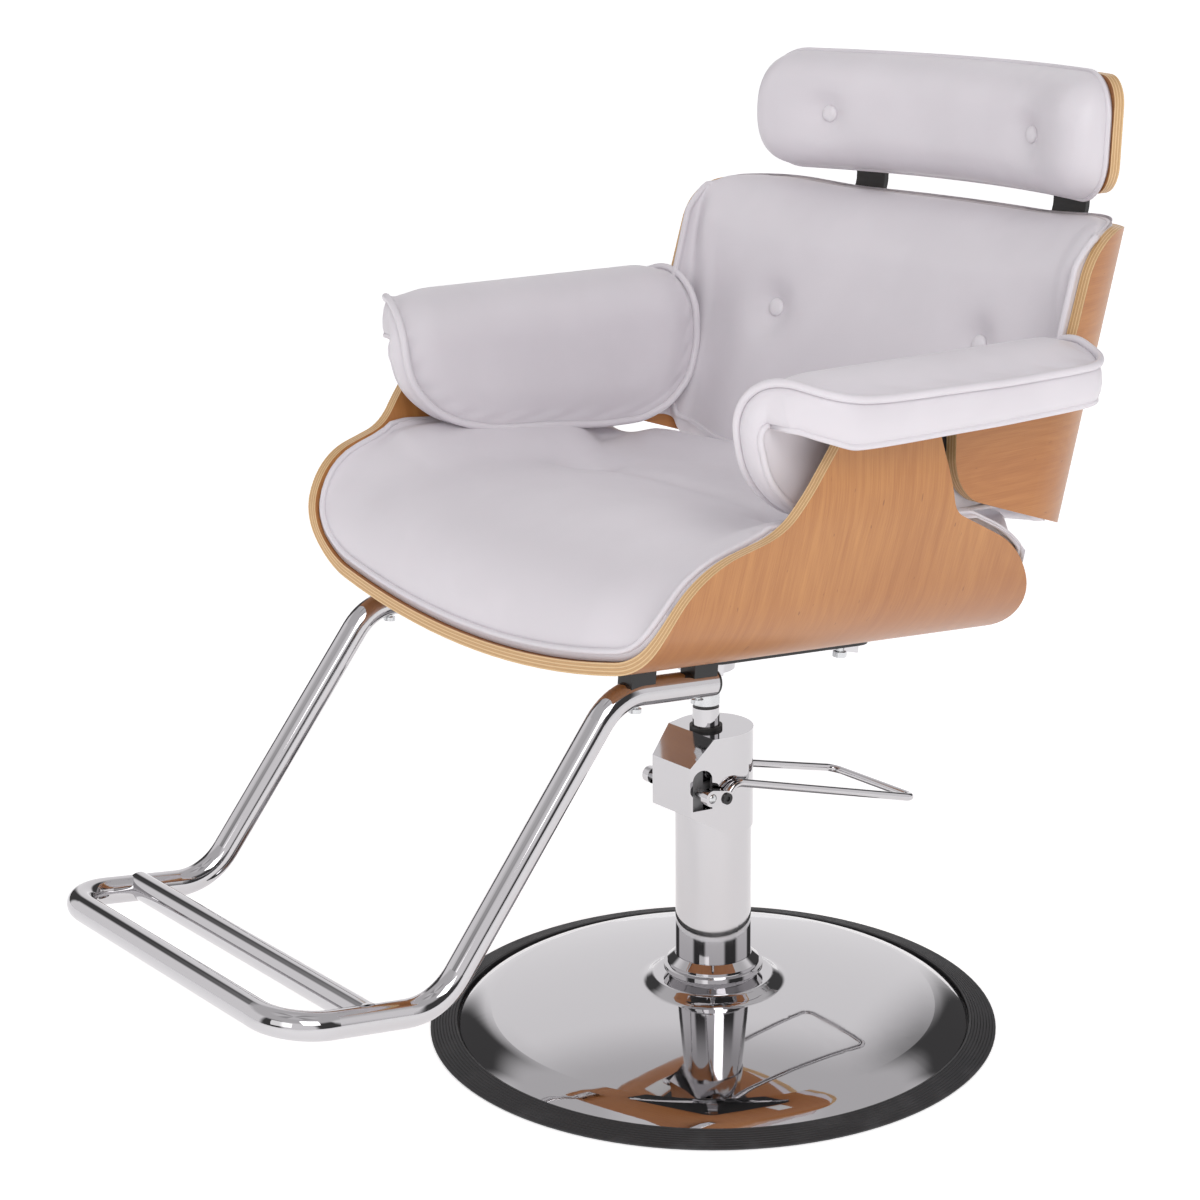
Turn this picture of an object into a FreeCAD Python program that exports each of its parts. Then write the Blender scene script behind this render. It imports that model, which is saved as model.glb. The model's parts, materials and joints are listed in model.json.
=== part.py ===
import FreeCAD, Part
import math
import os
import re
import Sketcher
from FreeCAD import Placement, Rotation, Vector

# A hydraulic styling chair: disc base, foot-pumped lift column, moulded plywood seat, back and
# headrest shells with upholstered cushions, padded arms and a bent-tube footrest.
# Millimetres. The origin is on the floor under the middle of the base, +Z is up, the sitter
# faces -Y and the sitter's left hand is on +X.
DIMENSIONS = {
    # Base disc and its rubber ring
    "ring_radius": 300, "ring_bore": 260, "ring_edge": 3, "ring_lip": 9.5, "ridge_count": 8,
    "dish_radius": 271.5, "dish_sheet": 2.5, "boss_radius": 60, "boss_top": 53,
    "plate_radius": 259.8, "plate_bottom": 1, "plate_thickness": 6,
    "foot_radius": 60, "foot_screw_circle": 48, "foot_screw_radius": 4,
    # Pump column
    "tube_radius": 39.8, "tube_wall": 3, "tube_top": 250, "collar_radius": 52.5,
    "collar_bottom": 53, "collar_top": 77,
    "ram_offset": -10, "ram_radius": 14, "spindle_radius": 10, "ram_shoulder": 351,
    "spindle_top": 432, "cylinder_bore": 18, "cylinder_wall": 3.5, "cylinder_bottom": 30,
    "cylinder_top": 236, "bush_bottom": 206, "piston_bottom": 52, "piston_length": 20,
    "plunger_offset": 25, "plunger_radius": 6, "barrel_top": 205, "plunger_cap": 260,
    "spring_radius": 7.6, "spring_wire": 1.1, "spring_turns": 7,
    # Pump head, its chamfered nose and the pedal works
    "head_radius": 41.6, "head_bottom": 222, "head_top": 328, "nose_half_width": 30,
    "nose_front": 57, "nose_bottom": 249, "chamfer": 23, "head_wall": 3,
    "pedal_y": -45, "pedal_z": 272, "shaft_radius": 5, "shaft_half_length": 53,
    "clamp_inner": 42.2, "clamp_width": 9, "clamp_screw_y": -26, "clamp_screw_z": 268,
    "bail_radius": 4.3, "bail_front_x": 46.4, "bail_corner_x": 64.5, "bail_corner_y": 234,
    "bail_corner_z": 210, "bail_bend": 13, "roller_radius": 6,
    # Swivel socket, four-arm bracket and mounting plate
    "socket_radius": 14.3, "socket_bottom": 354.5, "socket_top": 436, "hub_radius": 30,
    "hub_bottom": 394, "arm_reach": 158, "arm_width": 20, "bolt_x": 105, "bolt_s": 92,
    "mount_plate_width": 270, "mount_plate_depth": 230, "mount_plate_thickness": 5,
    # Seat shell: a trough that runs front to back and rises towards the front
    "seat_front": -300, "seat_floor": 470, "seat_tilt": 5.34, "shell_thickness": 12,
    "seat_floor_radius": 960, "seat_floor_half_turn": 13, "seat_corner_radius": 105,
    "seat_corner_turn": 60, "seat_wall": 72.5, "seat_lip_radius": 150, "seat_lip": 60,
    "seat_gap": 0.4,
    # Back and headrest shells, curved in plan
    "back_tilt": 16.1, "back_apex": 360, "back_level": 842.5, "back_half_width": 300,
    "back_radius": 900, "back_half_turn": 13, "headrest_half_width": 248,
    "headrest_radius": 600, "headrest_apex": 366, "headrest_level": 915, "headrest_tilt": 2.5,
    "headrest_bottom": 870, "headrest_top": 986, "headrest_corner": 30, "headrest_pad": 50,
    "button_radius": 9, "button_height": 5, "button_x": 151, "back_button_z": 720,
    "headrest_button_z": 929, "seat_button_s": 262,
    # Struts that carry the headrest
    "strut_x": 145.5, "strut_width": 44, "strut_thickness": 6, "strut_y": 356,
    "strut_bend_z": 848, "strut_bottom": 690, "strut_top": 958,
    # Arms
    "arm_inner": 250, "arm_outer": 362, "arm_crown_corner": 776, "arm_crown_radius": 52,
    "arm_outer_top": 740, "arm_under": 700, "flap_thickness": 37, "flap_bottom": 600,
    "arm_board_thickness": 10, "bracket_inner": 300.3, "bracket_outer": 308.2,
    "back_leaf_inner": 279.2, "back_leaf_outer": 287.2,
    # Footrest
    "footrest_tube": 13, "footrest_wall": 2, "footrest_x": 196, "footrest_bar_y": -640,
    "footrest_bar_z": 250, "crossbar_y": -561, "crossbar_z": 240,
}

doc = FreeCAD.newDocument("styling_chair")
sheet = doc.addObject("Spreadsheet::Sheet", "Dims")
for row, (alias, value) in enumerate(DIMENSIONS.items(), 1):
    sheet.set(f"A{row}", alias)
    sheet.set(f"B{row}", str(value))
    sheet.setAlias(f"B{row}", alias)
doc.recompute()

AXES = {"x": Rotation(Vector(0, 1, 0), 90), "y": Rotation(Vector(1, 0, 0), -90), "z": Rotation()}
nodes = []


def size(alias):
    """The value of one driving dimension."""
    return float(sheet.get(alias))


def bound(text):
    """An expression in which every driving dimension is read from the sheet."""
    def name(word):
        return "Dims." + word[0] if word[0] in DIMENSIONS else word[0]

    return re.sub(r"[a-z]\w+", name, str(text))


def bind(item, **expressions):
    for name, expression in expressions.items():
        item.setExpression(name.replace("__", "."), bound(expression))
    return item


def put(item, x=0, y=0, z=0, rotation=None):
    """Place an object at a point whose coordinates are bound to the sheet."""
    if rotation:
        item.Placement = Placement(Vector(), rotation)
    return bind(item, Placement__Base__x=x, Placement__Base__y=y, Placement__Base__z=z)


def cylinder(radius, height, x=0, y=0, z=0, along="z"):
    item = bind(doc.addObject("Part::Cylinder", "cylinder"), Radius=radius, Height=height)
    return put(item, x, y, z, AXES[along])


def cone(radius, top_radius, height, x=0, y=0, z=0, along="z"):
    item = bind(doc.addObject("Part::Cone", "cone"), Radius1=radius, Radius2=top_radius, Height=height)
    return put(item, x, y, z, AXES[along])


def hexagon(radius, height, x=0, y=0, z=0, along="z"):
    item = bind(doc.addObject("Part::Prism", "hexagon"), Circumradius=radius, Height=height)
    item.Polygon = 6
    return put(item, x, y, z, AXES[along])


def box(length, width, height, x=0, y=0, z=0):
    item = bind(doc.addObject("Part::Box", "box"), Length=length, Width=width, Height=height)
    return put(item, x, y, z)


def drawn(shape, name="drawn"):
    """A feature whose shape is worked out in code from the sheet's values."""
    item = doc.addObject("Part::Feature", name)
    item.Shape = shape
    return item


def fuse(*items):
    item = doc.addObject("Part::MultiFuse", "fuse")
    item.Shapes = list(items)
    item.Refine = True
    return item


def cut(base, *tools):
    for tool in tools:
        item = doc.addObject("Part::Cut", "cut")
        item.Base, item.Tool = base, tool
        base = item
    return base


def common(*items):
    item = doc.addObject("Part::MultiCommon", "common")
    item.Shapes = list(items)
    return item


def group(items):
    """Separate solids that share one node."""
    item = doc.addObject("Part::Compound", "group")
    item.Links = list(items)
    return item


def tube(radius, bore, height, x=0, y=0, z=0, along="z"):
    return cut(cylinder(radius, height, x, y, z, along), cylinder(bore, height, x, y, z, along))


def node(label, item):
    """Name a finished sub-part; its label is also the name of its file."""
    item.Label = label
    nodes.append(item)
    return item


def in_seat_frame(item):
    """Tilt an object that is laid out square to the seat trough: x across, y back, z up from it."""
    item.Placement = Placement(Vector(), Rotation(Vector(-1, 0, 0), 1))
    return bind(item, Placement__Base__y="seat_front", Placement__Base__z="seat_floor",
                Placement__Rotation__Angle="seat_tilt")


def turned(label, points):
    """A turned part: a PartDesign body revolved from a profile of (radius, height) expressions."""
    body = doc.addObject("PartDesign::Body", label + "_body")
    plane = next(item for item in body.Origin.OriginFeatures if item.Role == "XZ_Plane")
    sketch = body.newObject("Sketcher::SketchObject", label + "_profile")
    sketch.AttachmentSupport = (plane, [""])
    sketch.MapMode = "FlatFace"
    count = len(points)
    for index in range(count):
        start = Vector(100 + index, index, 0)
        sketch.addGeometry(Part.LineSegment(start, start + Vector(1, 1, 0)), False)
    for index in range(count):
        sketch.addConstraint(Sketcher.Constraint("Coincident", index, 2, (index + 1) % count, 1))
    for index, (radius, height) in enumerate(points):
        for direction, expression in (("DistanceX", radius), ("DistanceY", height)):
            number = sketch.addConstraint(Sketcher.Constraint(direction, -1, 1, index, 1, 1.0))
            sketch.setExpression(f"Constraints[{number}]", bound(expression))
    doc.recompute()
    revolution = body.newObject("PartDesign::Revolution", label + "_revolution")
    revolution.Profile = sketch
    revolution.ReferenceAxis = (sketch, ["V_Axis"])
    revolution.Angle = 360
    return node(label, body)


def turtle(start, heading, moves, offset=0.0):
    """Edges of a smooth path of lines and arcs in the XY plane, moved sideways to its left.

    A move is (length, 0) for a straight run or (radius, turn) for an arc; a positive turn is
    to the left.
    """
    x, y = start
    angle = math.radians(heading)
    edges = []
    for length, turn in moves:
        side = Vector(-math.sin(angle), math.cos(angle), 0)
        here = Vector(x, y, 0)
        if turn == 0:
            step = Vector(math.cos(angle), math.sin(angle), 0) * length
            edges.append(Part.LineSegment(here + side * offset, here + side * offset + step).toShape())
            x, y = x + step.x, y + step.y
            continue
        sign = math.copysign(1, turn)
        centre = here + side * sign * length
        radius = length - sign * offset
        middle = angle + math.radians(turn) / 2
        angle += math.radians(turn)
        ends = [centre - Vector(-math.sin(a), math.cos(a), 0) * sign * radius
                for a in (middle - math.radians(turn) / 2, middle, angle)]
        edges.append(Part.Arc(*ends).toShape())
        end = centre - Vector(-math.sin(angle), math.cos(angle), 0) * sign * length
        x, y = end.x, end.y
    return edges


def ends_of(edges):
    """The first and last points of a run of edges."""
    wire = Part.Wire(edges)
    vertexes = wire.OrderedVertexes
    return vertexes[0].Point, vertexes[-1].Point


def ribbon(start, heading, moves, inner, outer=0.0):
    """The face between a turtle path and the same path moved to its left."""
    near = turtle(start, heading, moves, outer)
    far = turtle(start, heading, moves, inner)
    near_ends, far_ends = ends_of(near), ends_of(far)
    caps = [Part.LineSegment(a, b).toShape() for a, b in zip(near_ends, far_ends)]
    return Part.Face(Part.Wire(Part.__sortEdges__(near + far + caps)))


def rounded(points, closed=True):
    """A wire through points (x, y[, z], radius) with a tangent arc at every point that has one."""
    spots = [Vector(*p[:-1]) if len(p) == 4 else Vector(p[0], p[1], 0) for p in points]
    radii = [p[-1] for p in points]
    count = len(spots)
    entries, exits, arcs = [], [], []
    for index, spot in enumerate(spots):
        if radii[index] == 0:
            entries.append(spot)
            exits.append(spot)
            arcs.append(None)
            continue
        back = (spots[index - 1] - spot).normalize()
        ahead = (spots[(index + 1) % count] - spot).normalize()
        half = back.getAngle(ahead) / 2
        reach = radii[index] / math.tan(half)
        middle = (back + ahead).normalize() * (radii[index] / math.sin(half) - radii[index])
        entries.append(spot + back * reach)
        exits.append(spot + ahead * reach)
        arcs.append(Part.Arc(entries[-1], spot + middle, exits[-1]).toShape())
    edges = []
    for index in range(count):
        if arcs[index]:
            edges.append(arcs[index])
        following = (index + 1) % count
        if (closed or following) and (entries[following] - exits[index]).Length > 1e-6:
            edges.append(Part.LineSegment(exits[index], entries[following]).toShape())
    return Part.Wire(edges)


def side_prism(points, half_width=400, start=None):
    """A prism across X from a side-view outline of (y, z, radius) points."""
    low = -half_width if start is None else start
    wire = rounded([(low, y, z, radius) for y, z, radius in points])
    return Part.Face(wire).extrude(Vector(half_width - low, 0, 0))


def plan_prism(points, bottom, top):
    """An upright prism from a plan outline of (x, y, radius) points."""
    wire = rounded([(x, y, bottom, radius) for x, y, radius in points])
    return Part.Face(wire).extrude(Vector(0, 0, top - bottom))


def bent_rod(points, radius):
    """A round rod along a path of straight runs and tangent arcs."""
    path = rounded(points, closed=False)
    first = path.OrderedEdges[0]
    start = first.valueAt(first.FirstParameter)
    tangent = first.tangentAt(first.FirstParameter)
    if (start - path.OrderedVertexes[0].Point).Length > 1e-6:
        start, tangent = first.valueAt(first.LastParameter), first.tangentAt(first.LastParameter) * -1
    profile = Part.Wire(Part.makeCircle(radius, start, tangent))
    return path.makePipeShell([profile], True, False)


def mirrored(shape):
    return shape.mirror(Vector(0, 0, 0), Vector(1, 0, 0))


def pair(label, shape):
    """The left piece and its mirror image on the right."""
    node(label + "_left", drawn(shape))
    node(label + "_right", drawn(mirrored(shape)))


# ---------------------------------------------------------------------------------------------
# Base: rubber ring, chromed dish, steel plate
# ---------------------------------------------------------------------------------------------
def make_ring():
    """A rubber skirt whose slope carries fine concentric ridges, each one pitch wide."""
    pitch = "(ring_radius - dish_radius - 3.5) / ridge_count"
    rise = "(ring_lip - ring_edge) / ridge_count"
    points = [("ring_bore", "0"), ("ring_radius - 1.2", "0"), ("ring_radius", "1.2"),
              ("ring_radius", "ring_edge - 0.6")]
    for ridge in range(DIMENSIONS["ridge_count"]):
        edge = f"ring_radius - 1 - {ridge} * {pitch}"
        level = f"ring_edge + {ridge} * {rise}"
        points.append((edge, level))
        points.append((f"{edge} - 0.7 * {pitch}", f"{level} + 0.7 * {rise}"))
        points.append((f"{edge} - 0.85 * {pitch}", f"{level} + 0.1 * {rise}"))
    points += [("dish_radius + 2.5", "ring_lip"), ("dish_radius + 0.4", "ring_lip - 0.4"),
               ("dish_radius + 0.4", "4.2"), ("ring_bore", "4.2")]
    turned("base_rubber_ring", points)


def make_dish():
    """Spun dish: flat boss, shoulder, cove, shallow dome and rolled edge, in one tangent profile."""
    start = (size("tube_radius") + 0.4, size("boss_top"))
    moves = [(size("boss_radius") - start[0], 0), (9, -32), (7, 0), (20, 28.5), (948, -9.5), (95, -23)]
    profile = drawn(ribbon(start, 0, moves, -size("dish_sheet")), "dish_profile")
    profile.Placement = Placement(Vector(), Rotation(Vector(1, 0, 0), 90))
    dish = doc.addObject("Part::Revolution", "dish")
    dish.Source = profile
    dish.Axis = (0, 0, 1)
    dish.Base = (0, 0, 0)
    dish.Angle = 360
    node("base_dish", dish)


def foot_screws(radius, height, z):
    """Four upright cylinders on the circle of the foot screws."""
    items = []
    for x, y in ((1, 1), (-1, 1), (-1, -1), (1, -1)):
        reach = "foot_screw_circle * 0.70711"
        items.append(cylinder(radius, height, f"{x} * {reach}", f"{y} * {reach}", z))
    return items


def make_base_plate():
    disc = cylinder("plate_radius", "plate_thickness", 0, 0, "plate_bottom")
    holes = foot_screws("foot_screw_radius + 0.3", "plate_thickness", "plate_bottom")
    counterbores = foot_screws("2 * foot_screw_radius", "3.6", "plate_bottom")
    node("base_plate", cut(disc, fuse(*holes, *counterbores)))
    heads = foot_screws("2 * foot_screw_radius - 0.3", "3", "plate_bottom + 0.5")
    shanks = foot_screws("foot_screw_radius", "14", "plate_bottom + 3.5")
    node("foot_screws", group(fuse(head, shank) for head, shank in zip(heads, shanks)))


def make_pump_foot():
    """Flanged valve block that closes the foot of the pump."""
    flange = cylinder("foot_radius - 3", "8", 0, 0, "plate_bottom + plate_thickness")
    block = cylinder("tube_radius - tube_wall - 0.3", "cylinder_bottom - 7", 0, 0, "7")
    holes = foot_screws("foot_screw_radius + 0.05", "12.5", "plate_bottom + plate_thickness")
    drain = cylinder("3", "12", 0, "plunger_offset", "cylinder_bottom - 12")
    node("pump_foot", cut(fuse(flange, block), fuse(*holes), drain))


# ---------------------------------------------------------------------------------------------
# Lift column
# ---------------------------------------------------------------------------------------------
def make_column():
    node("pump_tube", tube("tube_radius", "tube_radius - tube_wall", "tube_top - 15.2", 0, 0, "15.2"))
    turned("column_collar", [
        ("tube_radius + 0.15", "collar_bottom"), ("collar_radius - 6.5", "collar_bottom"),
        ("collar_radius", "collar_bottom + 8"), ("collar_radius", "collar_bottom + 12.5"),
        ("collar_radius - 4", "collar_bottom + 13.5"), ("collar_radius - 4", "collar_top - 7"),
        ("tube_radius + 1", "collar_top"), ("tube_radius + 0.15", "collar_top")])
    outer = "cylinder_bore + cylinder_wall"
    node("pressure_cylinder", tube(outer, "cylinder_bore", "cylinder_top - cylinder_bottom",
                                   0, "ram_offset", "cylinder_bottom"))
    node("ram_bush", tube("cylinder_bore - 0.02", "ram_radius + 0.05", "cylinder_top - bush_bottom",
                          0, "ram_offset", "bush_bottom"))
    node("wiper_seal", tube("ram_radius + 3", "ram_radius + 0.06", "9", 0, "ram_offset", "head_top - 5.5"))
    node("plunger_barrel", tube("plunger_radius + 3", "plunger_radius + 0.04",
                                "barrel_top - cylinder_bottom", 0, "plunger_offset", "cylinder_bottom"))


def make_ram():
    shaft = cylinder("ram_radius", "ram_shoulder - piston_bottom - piston_length", 0, "ram_offset",
                     "piston_bottom + piston_length")
    spindle = cylinder("spindle_radius", "spindle_top - ram_shoulder - 4", 0, "ram_offset", "ram_shoulder")
    tip = cone("spindle_radius", "spindle_radius - 3", "4", 0, "ram_offset", "spindle_top - 4")
    stud = cylinder("8", "12", 0, "ram_offset", "piston_bottom + piston_length - 12")
    node("ram", fuse(shaft, spindle, tip, stud))
    body = cylinder("cylinder_bore - 0.1", "piston_length", 0, "ram_offset", "piston_bottom")
    groove = tube("cylinder_bore + 1", "cylinder_bore - 3", "4.2", 0, "ram_offset", "piston_bottom + 7.9")
    socket = cylinder("8", "12", 0, "ram_offset", "piston_bottom + piston_length - 12")
    node("piston", cut(body, groove, socket))
    node("piston_seal", tube("cylinder_bore - 0.02", "cylinder_bore - 3", "4", 0, "ram_offset",
                             "piston_bottom + 8"))
    node("thrust_washer", tube("ram_radius - 0.6", "spindle_radius", "socket_bottom - ram_shoulder - 0.1",
                               0, "ram_offset", "ram_shoulder"))


def make_plunger():
    rod = cylinder("plunger_radius", "plunger_cap - 120", 0, "plunger_offset", "120")
    cap_height = "pedal_z - roller_radius - plunger_cap - 0.3"
    cap = cylinder("plunger_radius + 3", cap_height, 0, "plunger_offset", "plunger_cap")
    node("plunger", fuse(rod, cap))
    length = size("plunger_cap") - size("barrel_top") - 2 * size("spring_wire") - 0.2
    helix = Part.makeHelix(length / size("spring_turns"), length, size("spring_radius"))
    wire = Part.Wire(helix.Edges)
    end = Vector(size("spring_radius"), 0, 0)
    profile = Part.Wire(Part.makeCircle(size("spring_wire"), end, Vector(0, 1, 0)))
    spring = drawn(wire.makePipeShell([profile], True, True))
    node("plunger_spring", put(spring, 0, "plunger_offset", "barrel_top + spring_wire + 0.1"))


# ---------------------------------------------------------------------------------------------
# Pump head and pedal
# ---------------------------------------------------------------------------------------------
def head_plan(shrink, bottom, top):
    """Plan of the head: a round back that runs in tangent flanks to the narrower flat nose."""
    radius = size("head_radius") - shrink
    corner = Vector(size("nose_half_width") - shrink, shrink - size("nose_front"), bottom)
    reach = math.hypot(corner.x, corner.y)
    angle = math.atan2(corner.y, corner.x) + math.acos(radius / reach)
    touch = Vector(radius * math.cos(angle), radius * math.sin(angle), bottom)
    edges = [Part.LineSegment(Vector(-corner.x, corner.y, bottom), corner).toShape(),
             Part.LineSegment(corner, touch).toShape(),
             Part.Arc(touch, Vector(0, radius, bottom), Vector(-touch.x, touch.y, bottom)).toShape(),
             Part.LineSegment(Vector(-touch.x, touch.y, bottom),
                              Vector(-corner.x, corner.y, bottom)).toShape()]
    return Part.Face(Part.Wire(edges)).extrude(Vector(0, 0, top - bottom))


def head_solid(wall, ceiling):
    """The head's outline with its walls and ceiling taken off: chamfered above, sloping below."""
    bottom, top, front = size("head_bottom"), size("head_top"), -size("nose_front")
    chamfer = size("chamfer")
    side = [(front - 1, size("nose_bottom") + wall, 0), (-13, bottom + wall, 0), (60, bottom + wall, 0),
            (60, top - ceiling, 0), (front + chamfer + 4 + wall, top - ceiling, 0),
            (front - 1, top - chamfer - 5 - wall, 0)]
    return head_plan(wall, bottom, top).common(side_prism(side))


def make_head():
    """Chromed head cover with an arched slot in each flank for the pedal shaft."""
    outer = drawn(head_solid(0, 0))
    inner = drawn(head_solid(size("head_wall"), 2 * size("head_wall")))
    throat = cylinder("tube_radius + 0.1", "tube_top + 0.2 - head_bottom", 0, 0, "head_bottom")
    ram_hole = cylinder("ram_radius + 3", "20", 0, "ram_offset", "head_top - 10")
    slot_y, slot_radius = "pedal_y + 2", "11"
    arch = cylinder(slot_radius, "100", "-50", slot_y, "pedal_z + 14", "x")
    opening = box("100", "22", "32", "-50", f"{slot_y} - 11", "pedal_z - 18")
    node("pump_head", cut(outer, inner, throat, ram_hole, fuse(arch, opening)))


def make_pedal_works():
    """Cross shaft in two bearing plates, and the fork that carries the roller over the plunger."""
    plates = []
    inside = drawn(head_solid(size("head_wall") + 0.02, 2 * size("head_wall") + 0.02))
    for x in (-26.5, 22.5):
        plate = common(box("4", "16", "80", x, "pedal_y - 8", "nose_bottom"), inside)
        plates.append(cut(plate, cylinder("shaft_radius + 0.04", "6", x - 1, "pedal_y", "pedal_z", "x")))
    node("pedal_bearings", group(plates))
    shaft = cylinder("shaft_radius", "2 * shaft_half_length - 6", "3 - shaft_half_length",
                     "pedal_y", "pedal_z", "x")
    domes = []
    for x, along in (("3 - shaft_half_length", -1), ("shaft_half_length - 3", 1)):
        dome = doc.addObject("Part::Ellipsoid", "dome")
        bind(dome, Radius1="3", Radius2="shaft_radius", Radius3="shaft_radius")
        domes.append(put(dome, x, "pedal_y", "pedal_z", Rotation(Vector(0, 1, 0), 90 * along)))
    node("pedal_shaft", fuse(shaft, *domes))
    hub = cylinder("shaft_radius + 3", "39", "-19.5", "pedal_y", "pedal_z", "x")
    reach = "plunger_offset - pedal_y + 5"
    cheeks = [box("4", reach, "9", x, "pedal_y", "pedal_z - 4.5") for x in (-19.5, 15.5)]
    bore = cylinder("shaft_radius + 0.03", "40", "-20", "pedal_y", "pedal_z", "x")
    pin_bore = cylinder("3.03", "40", "-20", "plunger_offset", "pedal_z", "x")
    node("pedal_fork", cut(fuse(hub, *cheeks), bore, pin_bore))
    roller = cylinder("roller_radius", "30.6", "-15.3", "plunger_offset", "pedal_z", "x")
    pin = cylinder("3", "39", "-19.5", "plunger_offset", "pedal_z", "x")
    node("fork_roller", fuse(roller, pin))


def make_bail():
    """Bent rod that the hairdresser's foot presses, held at both ends in clamp blocks."""
    front_x, corner_x = size("bail_front_x"), size("bail_corner_x")
    corner_y, corner_z = size("bail_corner_y"), size("bail_corner_z")
    bend = size("bail_bend")
    half = [(front_x, size("clamp_screw_y"), size("clamp_screw_z") - 5, 0),
            (front_x + 0.4, size("clamp_screw_y") + 15, size("pedal_z") + 9, bend),
            (corner_x, corner_y, corner_z, bend)]
    points = half + [(-x, y, z, radius) for x, y, z, radius in reversed(half)]
    bail = node("pedal_bail", drawn(bent_rod(points, size("bail_radius"))))
    clamps, screws = [], []
    for side, x in (("left", "clamp_inner"), ("right", "-clamp_inner - clamp_width")):
        front = cylinder("8.5", "clamp_width", x, "pedal_y", "pedal_z", "x")
        rear = cylinder("8", "clamp_width", x, "clamp_screw_y", "clamp_screw_z", "x")
        web = drawn(plan_web())
        put(web, x)
        bore = cylinder("shaft_radius + 0.01", "clamp_width", x, "pedal_y", "pedal_z", "x")
        clamps.append(cut(fuse(front, rear, web), bore, bail))
    node("pedal_clamps", group(clamps))
    for x, step in (("clamp_inner + clamp_width", 1), ("-clamp_inner - clamp_width - 2", -1)):
        head = cylinder("6", "2", x, "clamp_screw_y", "clamp_screw_z", "x")
        key_x = f"{x} + 0.5" if step > 0 else f"{x} - 1.5"
        key = hexagon("3", "3", key_x, "clamp_screw_y", "clamp_screw_z", "x")
        screws.append(cut(head, key))
    node("clamp_screws", group(screws))


def plan_web():
    """Block between the two round ends of a clamp, one clamp wide, starting at x = 0."""
    pedal = Vector(0, size("pedal_y"), size("pedal_z"))
    screw = Vector(0, size("clamp_screw_y"), size("clamp_screw_z"))
    across = (screw - pedal).cross(Vector(1, 0, 0)).normalize()
    corners = [pedal + across * 8.5, screw + across * 8, screw - across * 8, pedal - across * 8.5]
    return Part.Face(Part.makePolygon(corners + corners[:1])).extrude(Vector(size("clamp_width"), 0, 0))


# ---------------------------------------------------------------------------------------------
# Swivel socket and bracket under the seat
# ---------------------------------------------------------------------------------------------
def seat_x_y(x_sign, y_sign):
    """Bracket bolt positions in the seat frame, around the point above the ram."""
    return f"{x_sign} * bolt_x", f"ram_offset - seat_front + {y_sign} * bolt_s"


BOLTS = ((1, 1), (-1, 1), (-1, -1), (1, -1))


def bolt_holes(radius, height, z):
    return [cylinder(radius, height, *seat_x_y(*corner), z) for corner in BOLTS]


def make_bracket():
    node("swivel_socket", tube("socket_radius", "spindle_radius + 0.05", "socket_top - socket_bottom",
                               0, "ram_offset", "socket_bottom"))
    reach = size("arm_reach")
    blade = Part.Face(rounded([(0, 0, -44, 0), (24, 0, -44, 20), (reach - 34, 0, -18, 30), (reach, 0, -18, 0),
                               (reach, 0, 10, 0), (0, 0, 10, 0)]))
    arms = []
    for x_sign, y_sign in BOLTS:
        turn = math.degrees(math.atan2(y_sign * size("bolt_s"), x_sign * size("bolt_x")))
        width = size("arm_width")
        arm = drawn(blade.extrude(Vector(0, width, 0)).translated(Vector(0, -width / 2, 0)))
        arms.append(put(arm, 0, "ram_offset - seat_front", 0, Rotation(Vector(0, 0, 1), turn)))
    hub = cylinder("hub_radius", "socket_top + 20 - hub_bottom", 0, "ram_offset", "hub_bottom")
    bore = cylinder("socket_radius", "90", 0, "ram_offset", "hub_bottom - 10")
    above = in_seat_frame(group([box("500", "600", "100", "-250", "0", "-mount_plate_thickness - 0.3")]))
    holes = in_seat_frame(fuse(*bolt_holes("4.2", "60", "-50")))
    node("seat_bracket", cut(fuse(hub, in_seat_frame(fuse(*arms))), bore, above, holes))


def make_mount_plate():
    """Black steel plate between the bracket and the shell, with blocks that fill the curved gap."""
    plate = box("mount_plate_width", "mount_plate_depth", "mount_plate_thickness", "-mount_plate_width / 2",
                "ram_offset - seat_front - mount_plate_depth / 2", "-mount_plate_thickness - 0.3")
    doc.recompute()
    corners = doc.addObject("Part::Fillet", "plate_corners")
    corners.Base = plate
    upright = [i for i, edge in enumerate(plate.Shape.Edges, 1) if abs(edge.tangentAt(0).z) > 0.9]
    corners.Edges = [(i, 25.0, 25.0) for i in upright]
    node("mount_plate", in_seat_frame(group([cut(corners, fuse(*bolt_holes("4.2", "20", "-10")))])))
    blocks = in_seat_frame(fuse(*bolt_holes("13", "12", "-0.3")))
    bores = in_seat_frame(fuse(*bolt_holes("4.2", "16", "-1")))
    node("shell_spacers", cut(blocks, trough_above(-0.1), bores))
    bolts = []
    for corner in BOLTS:
        head = hexagon("7.5", "5.5", *seat_x_y(*corner), "-23.6")
        shank = cylinder("4", "34", *seat_x_y(*corner), "-19")
        bolts.append(fuse(head, shank))
    node("bracket_bolts", in_seat_frame(group(bolts)))


# ---------------------------------------------------------------------------------------------
# Seat shell and cushion
# ---------------------------------------------------------------------------------------------
def seat_moves():
    """Half section from the top of the right wing to the middle of the floor, and back up."""
    half = [(size("seat_lip"), 0), (size("seat_lip_radius"), 90 - 13 - size("seat_corner_turn")),
            (size("seat_wall"), 0), (size("seat_corner_radius"), size("seat_corner_turn"))]
    floor = (size("seat_floor_radius"), 2 * size("seat_floor_half_turn"))
    return half + [floor] + half[::-1]


def seat_start(moves):
    """Top of the right wing, placed so that the lowest point of the trough is at (0, 0)."""
    path = Part.Wire(turtle((0, 0), -90, moves))
    span = path.BoundBox
    return -span.XLength / 2 - span.XMin, -span.YMin


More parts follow.
